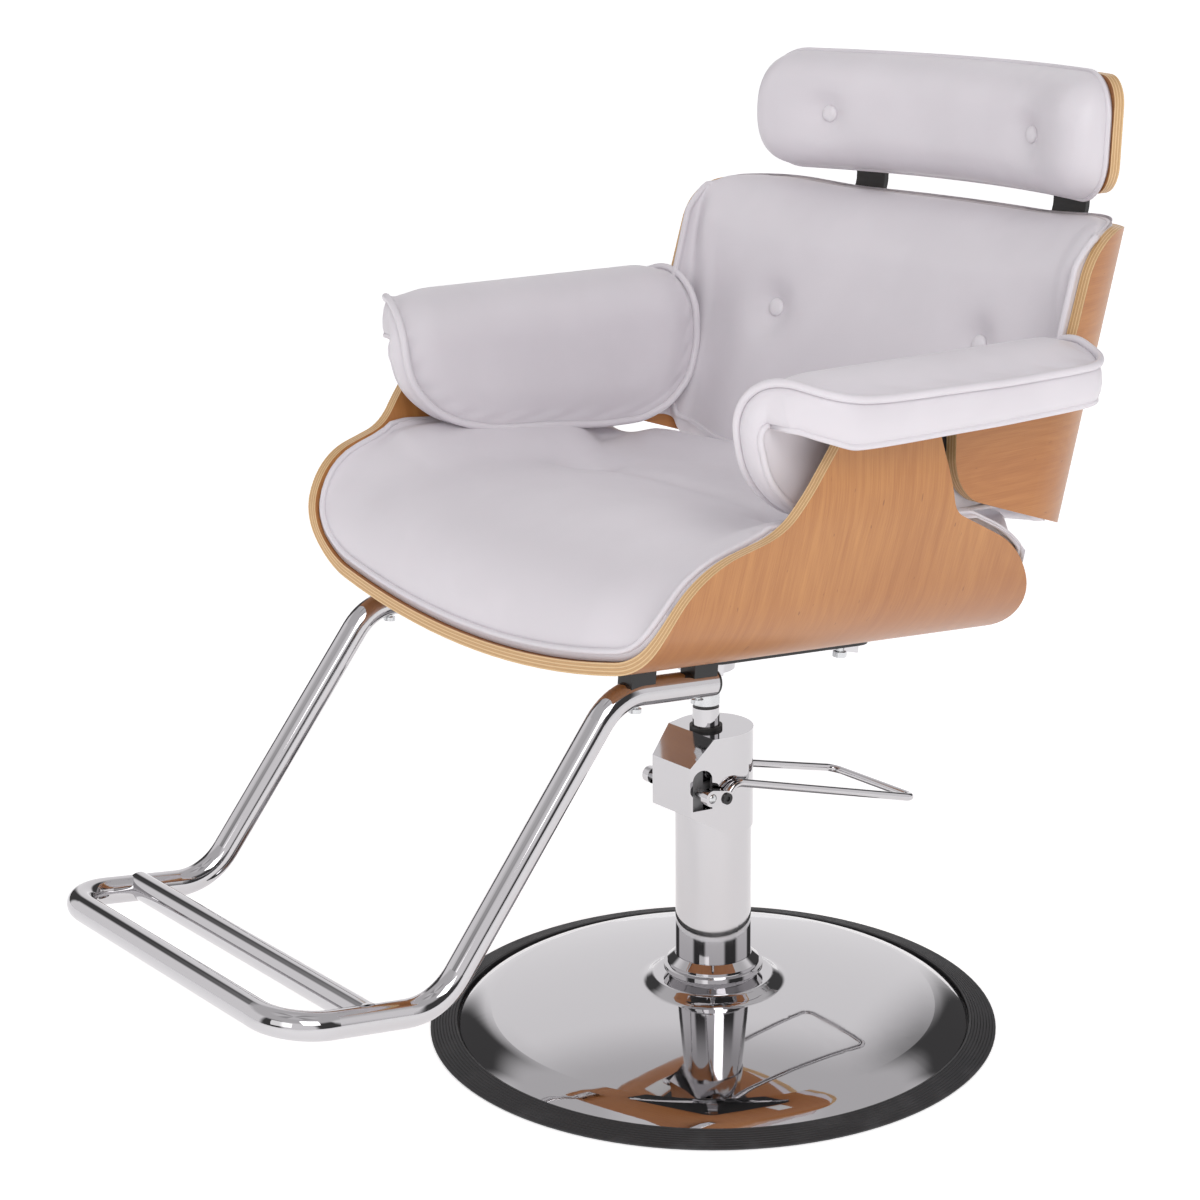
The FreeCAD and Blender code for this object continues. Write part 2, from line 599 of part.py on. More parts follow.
def along_seat(face, length):
    """Extrude a section that is drawn square to the trough, front to back."""
    tilt = math.radians(size("seat_tilt"))
    lead = 40
    origin = Vector(0, size("seat_front") - lead, size("seat_floor") + lead * math.tan(tilt))
    face.Placement = Placement(origin, Rotation(Vector(1, 0, 0), 90 - size("seat_tilt")))
    return face.extrude(Vector(0, math.cos(tilt), -math.sin(tilt)) * length)


SEAT_OUTLINE = [(-303, 400, 0), (-300, 594, 88), (-190, 623, 60), (-92, 745, 20), (-26, 745, 20),
                (22, 610, 32), (166, 538, 140), (166, 380, 0)]
SEAT_CUSHION_OUTLINE = [(-297, 400, 0), (-297, 520, 30), (-265, 572, 60), (-150, 596, 160), (40, 588, 200),
                        (160, 560, 22), (160, 380, 0)]
WING_BOLT_Y, BACK_BOLT_Y, ARM_BOLT_Z = (-60, -22), (62, 84), 664


def trough_above(offset):
    """Everything above the underside of the seat shell, moved up by an offset."""
    moves = seat_moves()
    edges = turtle(seat_start(moves), -90, moves, offset)
    lid = Part.LineSegment(*ends_of(edges)).toShape()
    return drawn(along_seat(Part.Face(Part.Wire(Part.__sortEdges__(edges + [lid]))), 560))


def make_seat():
    moves = seat_moves()
    start = seat_start(moves)
    shell = along_seat(ribbon(start, -90, moves, size("shell_thickness")), 560)
    below_arms = Part.makeBox(900, 900, 900, Vector(-450, -450, size("arm_under") - 0.3 - 900))
    trimmed = drawn(shell.common(side_prism(SEAT_OUTLINE)).common(below_arms))
    holes = in_seat_frame(fuse(*bolt_holes("4.2", "24", "-4"), *footrest_holes("3.4", "40", "0")))
    bolt_ways = [cylinder("3.1", "634", "-317", y, ARM_BOLT_Z, "x") for y in WING_BOLT_Y]
    node("seat_shell", cut(trimmed, holes, fuse(*bolt_ways)))
    filling = trough_above(size("shell_thickness") + size("seat_gap"))
    cushion = common(filling, drawn(side_prism(SEAT_CUSHION_OUTLINE)))
    pockets = in_seat_frame(fuse(*footrest_holes("6", "26", "14"), *seat_buttons("button_radius + 0.3", 60)))
    node("seat_cushion", cut(cushion, pockets))
    node("seat_buttons", in_seat_frame(group(seat_buttons("button_radius", 15))))


def seat_buttons(radius, length):
    return [cylinder(radius, str(length), f"{side} * button_x", "seat_button_s", "118") for side in (1, -1)]


def make_labels():
    """Two blank labels on the underside of the seat shell, following its curve."""
    moves = seat_moves()
    layer = drawn(along_seat(ribbon(seat_start(moves), -90, moves, -0.4, -0.1), 560))
    patches = in_seat_frame(fuse(box("46", "70", "30", "-196", "300", "-2"),
                                 box("60", "40", "30", "140", "330", "-2")))
    node("blank_labels", common(layer, patches))


# ---------------------------------------------------------------------------------------------
# Back shell and cushion
# ---------------------------------------------------------------------------------------------
def back_section():
    """Start and moves of the back's plan section, at the level of the shell's top."""
    side, turn = size("back_half_width"), math.radians(size("back_half_turn"))
    big = size("back_radius")
    corner = (side - big * math.sin(turn)) / (1 - math.sin(turn))
    depth = big - (big - corner) * math.cos(turn)
    straight = 240
    moves = [(straight, 0), (corner, size("back_half_turn") - 90), (big, -2 * size("back_half_turn")),
             (corner, size("back_half_turn") - 90), (straight, 0)]
    start = (-side, size("back_apex") - depth - straight)
    return start, moves


def along_back(face, low, high):
    """Extrude a plan section up the reclined back, from one level to another."""
    slope = math.tan(math.radians(size("back_tilt")))
    level = size("back_level")
    face.translate(Vector(0, (low - level) * slope, low))
    return face.extrude(Vector(0, (high - low) * slope, high - low))


BACK_OUTLINE = [(36, 620, 52), (130, 588, 0), (420, 492, 0), (470, 836, 0), (371, 836, 0), (300, 843, 0),
                (229, 852, 62), (195, 745, 0), (196, 698, 0), (36, 698, 12)]
BACK_CUSHION_OUTLINE = [(95, 606, 20), (240, 560, 0), (420, 500, 0), (470, 838, 0), (300, 849, 0),
                        (238, 850, 50), (200, 752, 0), (130, 700, 40)]


def make_back():
    start, moves = back_section()
    thickness = size("shell_thickness") / math.cos(math.radians(size("back_tilt")))
    shell = along_back(ribbon(start, 90, moves, -thickness), 480, 900)
    trimmed = drawn(shell.common(side_prism(BACK_OUTLINE)))
    node("back_shell", cut(trimmed, *back_bolt_holes()))
    inside = turtle(start, 90, moves, -thickness - 0.4)
    a, b = ends_of(inside)
    front_y = size("back_apex") - 110
    corners = [Vector(-300, front_y - 38, 0), Vector(300, front_y - 38, 0)]
    face_front = Part.Arc(corners[0], Vector(0, front_y, 0), corners[1]).toShape()
    lid = Part.LineSegment(a, b).toShape()
    bowl = along_back(Part.Face(Part.Wire(Part.__sortEdges__(inside + [lid]))), 480, 900)
    far = [corner - Vector(0, 300, 0) for corner in corners]
    sides = Part.makePolygon([corners[0], *far, corners[1]]).Edges
    scoop = along_back(Part.Face(Part.Wire(Part.__sortEdges__([face_front] + sides))), 470, 910)
    cushion = drawn(bowl.cut(scoop).common(side_prism(BACK_CUSHION_OUTLINE)))
    pockets = button_set("button_radius + 0.3", "180", "back_button_z", 56)
    notches = [box("60", "300", "400", x, "-105.2", "372")
               for x in ("arm_inner - 0.6", "0.6 - arm_inner - 60")]
    bolt_rooms = [cylinder("7", "600", "-300", y, ARM_BOLT_Z, "x") for y in BACK_BOLT_Y]
    node("back_cushion", cut(cushion, fuse(*pockets), fuse(*notches), fuse(*bolt_rooms)))
    node("back_buttons", group(button_set("button_radius", "217", "back_button_z", 17)))


def button_set(radius, y, z, length):
    return [cylinder(radius, str(length), f"{side} * button_x", y, z, "y") for side in (1, -1)]


def back_bolt_holes():
    """Holes for the arm bolts, which stop short of the shell's outer face."""
    return [cylinder("3.1", "592", "-296", y, ARM_BOLT_Z, "x") for y in BACK_BOLT_Y]


# ---------------------------------------------------------------------------------------------
# Headrest and struts
# ---------------------------------------------------------------------------------------------
def headrest_section(inner, outer):
    """Plan section of the headrest: a ring sector between two depths in front of its back face."""
    radius = size("headrest_radius")
    turn = math.degrees(math.asin(size("headrest_half_width") / radius)) + 2
    centre_y = size("headrest_apex") - radius
    start = (-radius * math.sin(math.radians(turn)), centre_y + radius * math.cos(math.radians(turn)))
    return ribbon(start, turn, [(radius, -2 * turn)], -inner, -outer)


def up_headrest(face, corner, low, high, half_width):
    """Raise a headrest section and round the four corners of its front view."""
    slope = math.tan(math.radians(size("headrest_tilt")))
    bottom = size("headrest_bottom") - 40
    face.translate(Vector(0, (bottom - size("headrest_level")) * slope, bottom))
    block = face.extrude(Vector(0, 220 * slope, 220))
    outline = [(-half_width, 0, low, corner), (half_width, 0, low, corner),
               (half_width, 0, high, corner), (-half_width, 0, high, corner)]
    window = Part.Face(rounded(outline)).extrude(Vector(0, 500, 0))
    return block.common(window)


def make_headrest():
    low, high, corner = size("headrest_bottom"), size("headrest_top"), size("headrest_corner")
    thick = size("shell_thickness") + 1
    shell = up_headrest(headrest_section(thick, 0), corner, low, high, size("headrest_half_width"))
    node("headrest_shell", drawn(shell))
    pad = up_headrest(headrest_section(thick + size("headrest_pad"), thick + 0.3), corner, low - 4, high + 2,
                      size("headrest_half_width") - 4)
    pockets = button_set("button_radius + 0.3", "240", "headrest_button_z", 64)
    node("headrest_cushion", cut(drawn(pad), fuse(*pockets)))
    node("headrest_buttons", group(button_set("button_radius", "287", "headrest_button_z", 15)))


def strut_side(front):
    """Side view of a strut: reclined along the back, bent upright behind the headrest."""
    lean = math.tan(math.radians(size("back_tilt")))
    rise = math.tan(math.radians(size("headrest_tilt")))
    y, bend, thick = size("strut_y"), size("strut_bend_z"), size("strut_thickness")
    low, high = size("strut_bottom"), size("strut_top")
    front_line = [(y - (bend - low) * lean, low, 0), (y, bend, 18), (y + (high - bend) * rise, high, 0)]
    rear_line = [(y + thick + (high - bend) * rise, high, 0), (y + thick, bend, 24),
                 (y + thick / 0.96 - (bend - low) * lean, low, 0)]
    return front_line + rear_line


def make_struts():
    side, width = size("strut_x"), size("strut_width")
    bar = side_prism(strut_side(0), side + width / 2, side - width / 2)
    pair("headrest_strut", bar)
    spacers, screws = [], []
    lean = math.tan(math.radians(size("back_tilt")))
    rise = math.tan(math.radians(size("headrest_tilt")))
    back = doc.getObjectsByLabel("back_shell")[0]
    headrest = doc.getObjectsByLabel("headrest_shell")[0]
    for z in (722, 800, 900, 940):
        slope = lean if z < size("strut_bend_z") else rise
        y = size("strut_y") + (z - size("strut_bend_z")) * slope
        direction = Vector(0, math.cos(math.atan(slope)), -math.sin(math.atan(slope)))
        shell = back if z < size("strut_bend_z") else headrest
        for sign in (1, -1):
            spot = Vector(sign * side, y, z)
            post = Part.makeCylinder(10, 26, spot - direction * 26, direction)
            spacers.append(cut(drawn(post), shell))
            head = Part.makeCylinder(7, 3.5, spot + direction * (size("strut_thickness") + 0.05), direction)
            screws.append(drawn(head))
    doc.recompute()
    rings = [max(item.Shape.Solids, key=lambda solid: solid.CenterOfMass.y) for item in spacers]
    node("strut_spacers", drawn(Part.makeCompound(rings)))
    node("strut_screws", group(screws))


# ---------------------------------------------------------------------------------------------
# Arms
# ---------------------------------------------------------------------------------------------
def make_bracket_leaves(top):
    """Plate bolted inside the seat wing, stepped inwards to a second leaf inside the back wing."""
    leaf_top = size("arm_under") - 1.5
    outer = side_prism([(-80, 652, 8), (-4, 652, 2), (-4, top, 2), (-80, top, 4)],
                       size("bracket_outer"), size("bracket_inner"))
    inner = side_prism([(-14, 652, 4), (100, 652, 8), (100, leaf_top, 4), (-14, leaf_top, 4)],
                       size("back_leaf_outer"), size("back_leaf_inner"))
    step = side_prism([(-14, 652, 2), (-4, 652, 2), (-4, leaf_top, 2), (-14, leaf_top, 2)],
                      size("bracket_outer"), size("back_leaf_inner"))
    return outer.fuse(inner).fuse(step).removeSplitter()


def make_arms():
    """Padded arm: a board that slopes outwards and a flap that hangs down inside the seat wing."""
    inner, outer, low = size("arm_inner"), size("arm_outer"), size("arm_under")
    flap, bottom = inner + size("flap_thickness"), size("flap_bottom")
    section = rounded([(inner, 0, bottom - 12, 0), (flap - 4, 0, bottom - 12, 0), (flap, 0, low, 1.5),
                       (outer, 0, low, 10), (outer, 0, size("arm_outer_top"), 12),
                       (inner, 0, size("arm_crown_corner"), size("arm_crown_radius"))])
    block = Part.Face(section).extrude(Vector(0, 460, 0)).translated(Vector(0, -250, 0))
    plan = plan_prism([(200, -202, 0), (305, -202, 30), (348, -160, 40), (outer, -95, 60),
                       (outer, 194, 42), (200, 194, 0)], 560, 800)
    side = side_prism([(-204, 790, 10), (-202, 664, 70), (-110, 606, 80), (60, bottom - 2, 200),
                       (194, bottom - 6, 55), (194, 790, 40)], 400, 200)
    pad = block.common(plan).common(side)
    start, moves = back_section()
    thickness = size("shell_thickness") / math.cos(math.radians(size("back_tilt")))
    pad = pad.cut(along_back(ribbon(start, 90, moves, -thickness - 0.4), 480, low - 1.5))
    board_top = low + size("arm_board_thickness")
    board = plan_prism([(300, -150, 12), (350, -100, 20), (350, 160, 20), (300, 160, 12)],
                       low - 0.01, board_top)
    bracket = make_bracket_leaves(board_top)
    pocket = Part.makeBox(30, 115, low - 651.4, Vector(size("back_leaf_inner") - 0.3, -14.5, 651.5))
    pad = pad.cut(pocket)
    bolts = []
    places = [(y, size("bracket_inner") - 0.1, 16) for y in WING_BOLT_Y]
    places += [(y, size("back_leaf_inner") - 0.1, 16.6) for y in BACK_BOLT_Y]
    for y, seat, length in places:
        head = Part.makeCylinder(6, 3.5, Vector(seat - 3.5, y, ARM_BOLT_Z), Vector(1, 0, 0))
        shank = Part.makeCylinder(3, length, Vector(seat, y, ARM_BOLT_Z), Vector(1, 0, 0))
        bolts.append(head.fuse(shank))
        pad = pad.cut(Part.makeCylinder(7, 20, Vector(seat - 5, y, ARM_BOLT_Z), Vector(1, 0, 0)))
    pair("arm_pad", pad.cut(board).removeSplitter())
    pair("arm_board", board.cut(bracket))
    bolt_space = Part.makeCompound([Part.makeCylinder(3.1, 40, Vector(275, y, ARM_BOLT_Z), Vector(1, 0, 0))
                                    for y in WING_BOLT_Y + BACK_BOLT_Y])
    pair("arm_bracket", bracket.cut(bolt_space))
    node("arm_bolts", drawn(Part.makeCompound(bolts + [mirrored(bolt) for bolt in bolts])))


# ---------------------------------------------------------------------------------------------
# Footrest
# ---------------------------------------------------------------------------------------------
FOOTREST_BOLT_S = (38, 112)


def footrest_holes(radius, height, z):
    return [cylinder(radius, height, f"{side} * footrest_x", str(s), z)
            for side in (1, -1) for s in FOOTREST_BOLT_S]


def make_footrest():
    """One bent tube: under the seat, down in front, and forward to the bar that feet rest on."""
    x, bar_y, bar_z = size("footrest_x"), size("footrest_bar_y"), size("footrest_bar_z")
    half = [(x, -173, 458, 0), (x, -287, 469.5, 55), (x, -487, 225, 60), (x, bar_y, bar_z, 46)]
    points = half + [(-px, y, z, radius) for px, y, z, radius in reversed(half)]
    outer = bent_rod(points, size("footrest_tube"))
    inner = bent_rod(points, size("footrest_tube") - size("footrest_wall"))
    holes = in_seat_frame(fuse(*footrest_holes("3.4", "60", "-30")))
    frame = node("footrest_frame", cut(drawn(outer.cut(inner)), holes))
    bar = cylinder("footrest_tube", "2 * footrest_x", "-footrest_x", "crossbar_y", "crossbar_z", "x")
    core = cylinder("footrest_tube - footrest_wall", "2 * footrest_x", "-footrest_x",
                    "crossbar_y", "crossbar_z", "x")
    node("footrest_crossbar", cut(cut(bar, core), drawn(outer)))
    plugs = []
    for sign in (1, -1):
        direction = Vector(0, 1, -0.1009).normalize()
        end = Vector(sign * x, -173, 458)
        bore = size("footrest_tube") - size("footrest_wall")
        stem = Part.makeCylinder(bore - 0.05, 8, end - direction * 8, direction)
        cap = Part.makeCylinder(size("footrest_tube") - 0.4, 3, end + direction * 0.05, direction)
        plug = stem.fuse(cap).fuse(Part.makeCylinder(size("footrest_tube") - 4, 1, end, direction))
        plugs.append(drawn(plug.removeSplitter()))
    node("footrest_plugs", group(plugs))
    blocks = [box("20", "28", "18", f"{side} * footrest_x - 10", f"{s} - 14", "6") for side in (1, -1)
              for s in FOOTREST_BOLT_S]
    bores = in_seat_frame(fuse(*footrest_holes("3.4", "40", "0")))
    node("footrest_saddles", cut(in_seat_frame(fuse(*blocks)), trough_above(-0.1), drawn(outer), bores))
    bolts = []
    for side in (1, -1):
        for s in FOOTREST_BOLT_S:
            head = cylinder("6", "4", f"{side} * footrest_x", str(s), "-18.5")
            shank = cylinder("3.2", "48", f"{side} * footrest_x", str(s), "-14.6")
            bolts.append(fuse(head, shank))
    node("footrest_bolts", in_seat_frame(group(bolts)))


make_ring()
make_dish()
make_base_plate()
make_pump_foot()
make_column()
make_ram()
make_plunger()
make_head()
make_pedal_works()
make_bail()
make_bracket()
make_mount_plate()
make_seat()
make_labels()
make_back()
make_headrest()
make_struts()
make_arms()
make_footrest()

doc.recompute()
failed = [f"{item.Label} {item.State} in {[parent.Label for parent in item.InList]}" for item in doc.Objects
          if "Invalid" in item.State or "Error" in item.State]
if failed:
    raise RuntimeError("\n".join(failed))
for item in nodes:
    if item.Shape.isNull() or not item.Shape.isValid() or not item.Shape.Solids:
        raise RuntimeError(f"{item.Label} has no valid shape")

os.makedirs("parts", exist_ok=True)
for item in nodes:
    item.Shape.exportStep(f"parts/{item.Label}.step")
    span = item.Shape.BoundBox
    print(f"{item.Label:20s} {len(item.Shape.Solids)} solids {item.Shape.Volume / 1000:9.1f} cm3 "
          f"x {span.XMin:7.1f} {span.XMax:7.1f} y {span.YMin:7.1f} {span.YMax:7.1f} "
          f"z {span.ZMin:7.1f} {span.ZMax:7.1f}")
print(len(nodes), "nodes")
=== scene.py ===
import json
import math

import bpy
import numpy as np
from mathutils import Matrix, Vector


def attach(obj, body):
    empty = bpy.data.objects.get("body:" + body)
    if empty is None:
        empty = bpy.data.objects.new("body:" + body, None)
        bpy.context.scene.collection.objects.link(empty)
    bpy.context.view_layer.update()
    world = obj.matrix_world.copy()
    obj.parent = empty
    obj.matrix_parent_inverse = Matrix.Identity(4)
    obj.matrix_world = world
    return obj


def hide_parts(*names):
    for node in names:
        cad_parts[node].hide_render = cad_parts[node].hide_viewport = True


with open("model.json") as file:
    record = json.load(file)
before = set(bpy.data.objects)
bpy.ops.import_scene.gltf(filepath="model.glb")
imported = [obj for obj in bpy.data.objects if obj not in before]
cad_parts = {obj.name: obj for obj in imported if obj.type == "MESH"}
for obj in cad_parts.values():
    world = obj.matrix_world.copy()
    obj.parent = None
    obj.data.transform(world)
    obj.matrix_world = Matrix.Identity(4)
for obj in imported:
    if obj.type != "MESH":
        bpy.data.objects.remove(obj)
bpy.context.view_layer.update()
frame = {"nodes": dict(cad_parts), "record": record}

# Styling chair: white vinyl cushions with welted seams, veneered plywood shells, chromed base.
# Shapes are laid out in millimetres and become metres as each mesh is made. The sitter faces -Y.
MM = 0.001
NODES = frame["nodes"]

# Seat shell: its tilt, the y and z that it tilts about, and the radii round its outer face.
SEAT_TILT = math.radians(5.34)
SEAT_PIVOT = (-300.0, 470.0)
SEAT_TROUGH, SEAT_CORNER, SEAT_LIP = 960.0, 105.0, 150.0
# Back shell, seen from above: its lean, the height where y is measured, the broad arc's radius
# and centre, and the corner arc's radius and centre.
BACK_LEAN = math.radians(16.1)
BACK_LEVEL = 842.5
BACK_RADIUS, BACK_CENTRE = 900.0, -540.0
BACK_CORNER, BACK_CORNER_X, BACK_CORNER_Y = 125.85, 174.1, 214.3
# Headrest shell, in the same way.
HEAD_LEAN = math.radians(2.5)
HEAD_LEVEL = 915.0
HEAD_RADIUS, HEAD_CENTRE = 600.0, -234.0
# Buttons come in mirrored pairs: x and y on the seat, x and z on the back and the headrest.
SEAT_BUTTON = (151.0, -37.0)
BACK_BUTTON = (151.0, 720.0)
HEAD_BUTTON = (147.0, 924.0)

# =============================================================================================
# Shader helpers
# =============================================================================================


class Ex:
    """A number in a node tree, so that a material's arithmetic can be written as an expression."""

    def __init__(self, tree, value):
        self.tree, self.value = tree, value

    def op(self, kind, *others):
        node = self.tree.nodes.new("ShaderNodeMath")
        node.operation = kind
        for socket, item in zip(node.inputs, (self,) + others):
            value = item.value if isinstance(item, Ex) else item
            if isinstance(value, (int, float)):
                socket.default_value = value
            else:
                self.tree.links.new(value, socket)
        return Ex(self.tree, node.outputs[0])

    def __add__(self, other):
        return self.op("ADD", other)

    def __sub__(self, other):
        return self.op("SUBTRACT", other)

    def __rsub__(self, other):
        return Ex(self.tree, other).op("SUBTRACT", self)

    def __mul__(self, other):
        return self.op("MULTIPLY", other)

    def __truediv__(self, other):
        return self.op("DIVIDE", other)

    def abs(self):
        return self.op("ABSOLUTE")

    def root(self):
        return self.op("SQRT")

    def sin(self):
        return self.op("SINE")

    def fract(self):
        return self.op("FRACT")

    def power(self, other):
        return self.op("POWER", other)

    def above(self, other):
        return self.op("GREATER_THAN", other)

    def below(self, other):
        return self.op("LESS_THAN", other)

    def low(self, other):
        return self.op("MINIMUM", other)

    def high(self, other):
        return self.op("MAXIMUM", other)

    def mix(self, other, amount):
        """self where amount is 0, other where it is 1."""
        return self + (other - self) * amount

    def smooth(self, start, end):
        """0 before start, 1 after end, and a smooth rise between."""
        node = self.tree.nodes.new("ShaderNodeMapRange")
        node.interpolation_type = "SMOOTHSTEP"
        self.tree.links.new(self.value, node.inputs[0])
        node.inputs[1].default_value, node.inputs[2].default_value = start, end
        return Ex(self.tree, node.outputs[0])


def length(*parts):
    """Length of the vector with these parts."""
    total = parts[0] * parts[0]
    for part in parts[1:]:
        total = total + part * part
    return total.root()


def new_material(name, color, **values):
    """A Principled material; each value's key is the socket's name, with _ for a space."""
    material = bpy.data.materials.new(name)
    material.use_nodes = True
    tree = material.node_tree
    shader = tree.nodes["Principled BSDF"]
    shader.inputs["Base Color"].default_value = (*color, 1)
    for key, value in values.items():
        shader.inputs[key.replace("_", " ")].default_value = value
    return material, tree, shader


def object_vector(tree):
    return tree.nodes.new("ShaderNodeTexCoord").outputs["Object"]


def coordinates(tree, output="Object", scale=1000.0):
    """x, y and z of a point, in millimetres unless the scale says otherwise."""
    node = tree.nodes.new("ShaderNodeTexCoord")
    split = tree.nodes.new("ShaderNodeSeparateXYZ")
    tree.links.new(node.outputs[output], split.inputs[0])
    return [Ex(tree, split.outputs[i]) * scale for i in range(3)]


def normals(tree):
    return coordinates(tree, "Normal", 1.0)


def combine(tree, x, y, z):
    node = tree.nodes.new("ShaderNodeCombineXYZ")
    for socket, item in zip(node.inputs, (x, y, z)):
        if isinstance(item, Ex):
            tree.links.new(item.value, socket)
        else:
            socket.default_value = item
    return node.outputs[0]


def noise(tree, vector, scale, detail=3.0, roughness=0.5):
    node = tree.nodes.new("ShaderNodeTexNoise")
    node.inputs["Scale"].default_value = scale
    node.inputs["Detail"].default_value = detail
    node.inputs["Roughness"].default_value = roughness
    tree.links.new(vector, node.inputs["Vector"])
    return Ex(tree, node.outputs["Fac"])


def ramp(tree, factor, stops):
    node = tree.nodes.new("ShaderNodeValToRGB")
    tree.links.new(factor.value, node.inputs[0])
    elements = node.color_ramp.elements
    while len(elements) < len(stops):
        elements.new(0.5)
    for element, (position, color) in zip(elements, stops):
        element.position = position
        element.color = (*color, 1)
    return node.outputs[0]


def mix_color(tree, amount, first, second):
    """first where amount is 0, second where it is 1; each is a colour or a socket."""
    node = tree.nodes.new("ShaderNodeMix")
    node.data_type = "RGBA"
    factor, a, b = node.inputs[0], node.inputs[6], node.inputs[7]
    for socket, item in ((factor, amount), (a, first), (b, second)):
        if isinstance(item, Ex):
            tree.links.new(item.value, socket)
        elif isinstance(item, float):
            socket.default_value = item
        elif isinstance(item, tuple):
            socket.default_value = (*item, 1)
        else:
            tree.links.new(item, socket)
    return node.outputs[2]


def set_color(tree, shader, color):
    tree.links.new(color, shader.inputs["Base Color"])


def set_roughness(tree, shader, rough):
    tree.links.new(rough.value, shader.inputs["Roughness"])


def bump(tree, shader, height, strength, distance):
    node = tree.nodes.new("ShaderNodeBump")
    node.inputs["Strength"].default_value = strength
    node.inputs["Distance"].default_value = distance
    tree.links.new(height.value, node.inputs["Height"])
    tree.links.new(node.outputs[0], shader.inputs["Normal"])


# =============================================================================================
# Materials
# =============================================================================================


def vinyl(name, color):
    """Soft white upholstery vinyl: fine pebble grain, faint mottling and a low sheen."""
    material, tree, shader = new_material(
        name, color, Roughness=0.42, IOR=1.48, Subsurface_Weight=0.06,
        Subsurface_Radius=(0.006, 0.004, 0.004), Sheen_Weight=0.12)
    where = object_vector(tree)
    mottle = noise(tree, where, 9.0).smooth(0.35, 0.7)
    dark = tuple(c * 0.955 for c in color)
    set_color(tree, shader, mix_color(tree, mottle, dark, color))
    set_roughness(tree, shader, noise(tree, where, 60.0, 2.0) * 0.1 + 0.37)
    pebble = tree.nodes.new("ShaderNodeTexVoronoi")
    pebble.inputs["Scale"].default_value = 900
    tree.links.new(where, pebble.inputs["Vector"])
    grain = Ex(tree, pebble.outputs["Distance"]) * 0.5 + noise(tree, where, 1700, 2.0) * 0.5
    bump(tree, shader, grain, 0.12, 0.0004)
    return material


def mirror_chrome():
    """Mirror chrome plate with faint polishing haze."""
    material, tree, shader = new_material("mirror_chrome", (0.55, 0.54, 0.552), Metallic=1.0)
    where = object_vector(tree)
    set_roughness(tree, shader, noise(tree, where, 22.0, 4.0).smooth(0.4, 0.8) * 0.035 + 0.03)
    bump(tree, shader, noise(tree, where, 14.0, 2.0), 0.02, 0.002)
    return material


def speckled(name, color, rough, metallic=1.0, grain=700.0, strength=0.08):
    """A metal or plastic finish with a fine speckle in its colour, gloss and height."""
    material, tree, shader = new_material(name, color, Metallic=metallic)
    speckle = noise(tree, object_vector(tree), grain)
    dark = tuple(c * 0.85 for c in color)
    set_color(tree, shader, mix_color(tree, speckle, dark, color))
    set_roughness(tree, shader, speckle * 0.15 + (rough - 0.07))
    bump(tree, shader, speckle, strength, 0.0003)
    return material


def ribbed_rubber():
    """Matt black rubber with dust in patches."""
    color, dusty = (0.018, 0.018, 0.02), (0.045, 0.045, 0.048)
    material, tree, shader = new_material("ribbed_rubber", color)
    where = object_vector(tree)
    dust = noise(tree, where, 30.0, 5.0).smooth(0.45, 0.8)
    set_color(tree, shader, mix_color(tree, dust, color, dusty))
    set_roughness(tree, shader, dust * 0.2 + 0.55)
    bump(tree, shader, noise(tree, where, 900.0, 2.0), 0.15, 0.0003)
    return material


# Slope of the line where a shell's broad arc, which spans 13 degrees, meets its corner arc.
CORNER_SLOPE = 0.2309
# Sine, cosine and cotangent of the 73 degrees that the seat shell's wall stands at.
WALL_SINE, WALL_COSINE, WALL_COTANGENT = 0.9563, 0.2924, 0.3057
SHELL_PLY = 12.0
WING_START = 262.0  # |x| beyond which a face that isn't turned sideways is a cut edge
VENEER = (0.5, 0.22, 0.1)
LACQUER = {"Coat_Weight": 0.22, "Coat_Roughness": 0.22}
VENEER_TONES = [(0.15, (0.29, 0.10, 0.024)), (0.40, (0.405, 0.160, 0.042)),
                (0.62, (0.51, 0.228, 0.066)), (0.9, (0.64, 0.325, 0.115))]


def heart_distance(along, across, heart):
    """Distance from the heart of the rings, rounded off at the heart itself."""
    offset = across - heart[0]
    reach = (along - heart[1]) * heart[2]
    return (offset * offset + reach * reach + 60.0).root()


def veneer(tree, along, across, period, hearts, seed):
    """Honey-brown figure: arched rings cut by a plane, drawn-out fibres and slow drifts of tone.

    The rings lie round the hearts, each (across, along, stretch), one every period mm.
    Gives the colour, the fibres and the pores.
    """
    def figure(along_scale, across_scale, offset, detail, roughness=0.5):
        place = combine(tree, along * along_scale, across * across_scale, seed + offset)
        return noise(tree, place, 1.0, detail, roughness)

    radii = [heart_distance(along, across, heart) for heart in hearts]
    rings = radii[0]
    for radius in radii[1:]:
        rings = rings.low(radius)
    phase = (rings + figure(0.0045, 0.014, 3.0, 2.0) * 55.0) / period
    band = ((phase * 6.2832).sin() * 0.5 + 0.5).power(1.7)
    drift = figure(0.0021, 0.0065, 0.0, 3.0)
    fibre = figure(0.018, 0.9, 7.0, 4.0, 0.65)
    pore = figure(0.06, 2.6, 9.0, 2.0).smooth(0.60, 0.74)
    streak = figure(0.004, 0.11, 14.0, 4.0, 0.6)
    fleck = figure(0.05, 0.22, 21.0, 1.0).smooth(0.735, 0.775)
    tone = drift * 0.50 + band * 0.045 + fibre * 0.46 + streak * 0.42 - 0.24
    color = ramp(tree, tone, VENEER_TONES)
    color = mix_color(tree, fleck * 0.6, color, (0.16, 0.055, 0.02))
    return mix_color(tree, pore * 0.3, color, (0.27, 0.10, 0.035)), fibre, pore


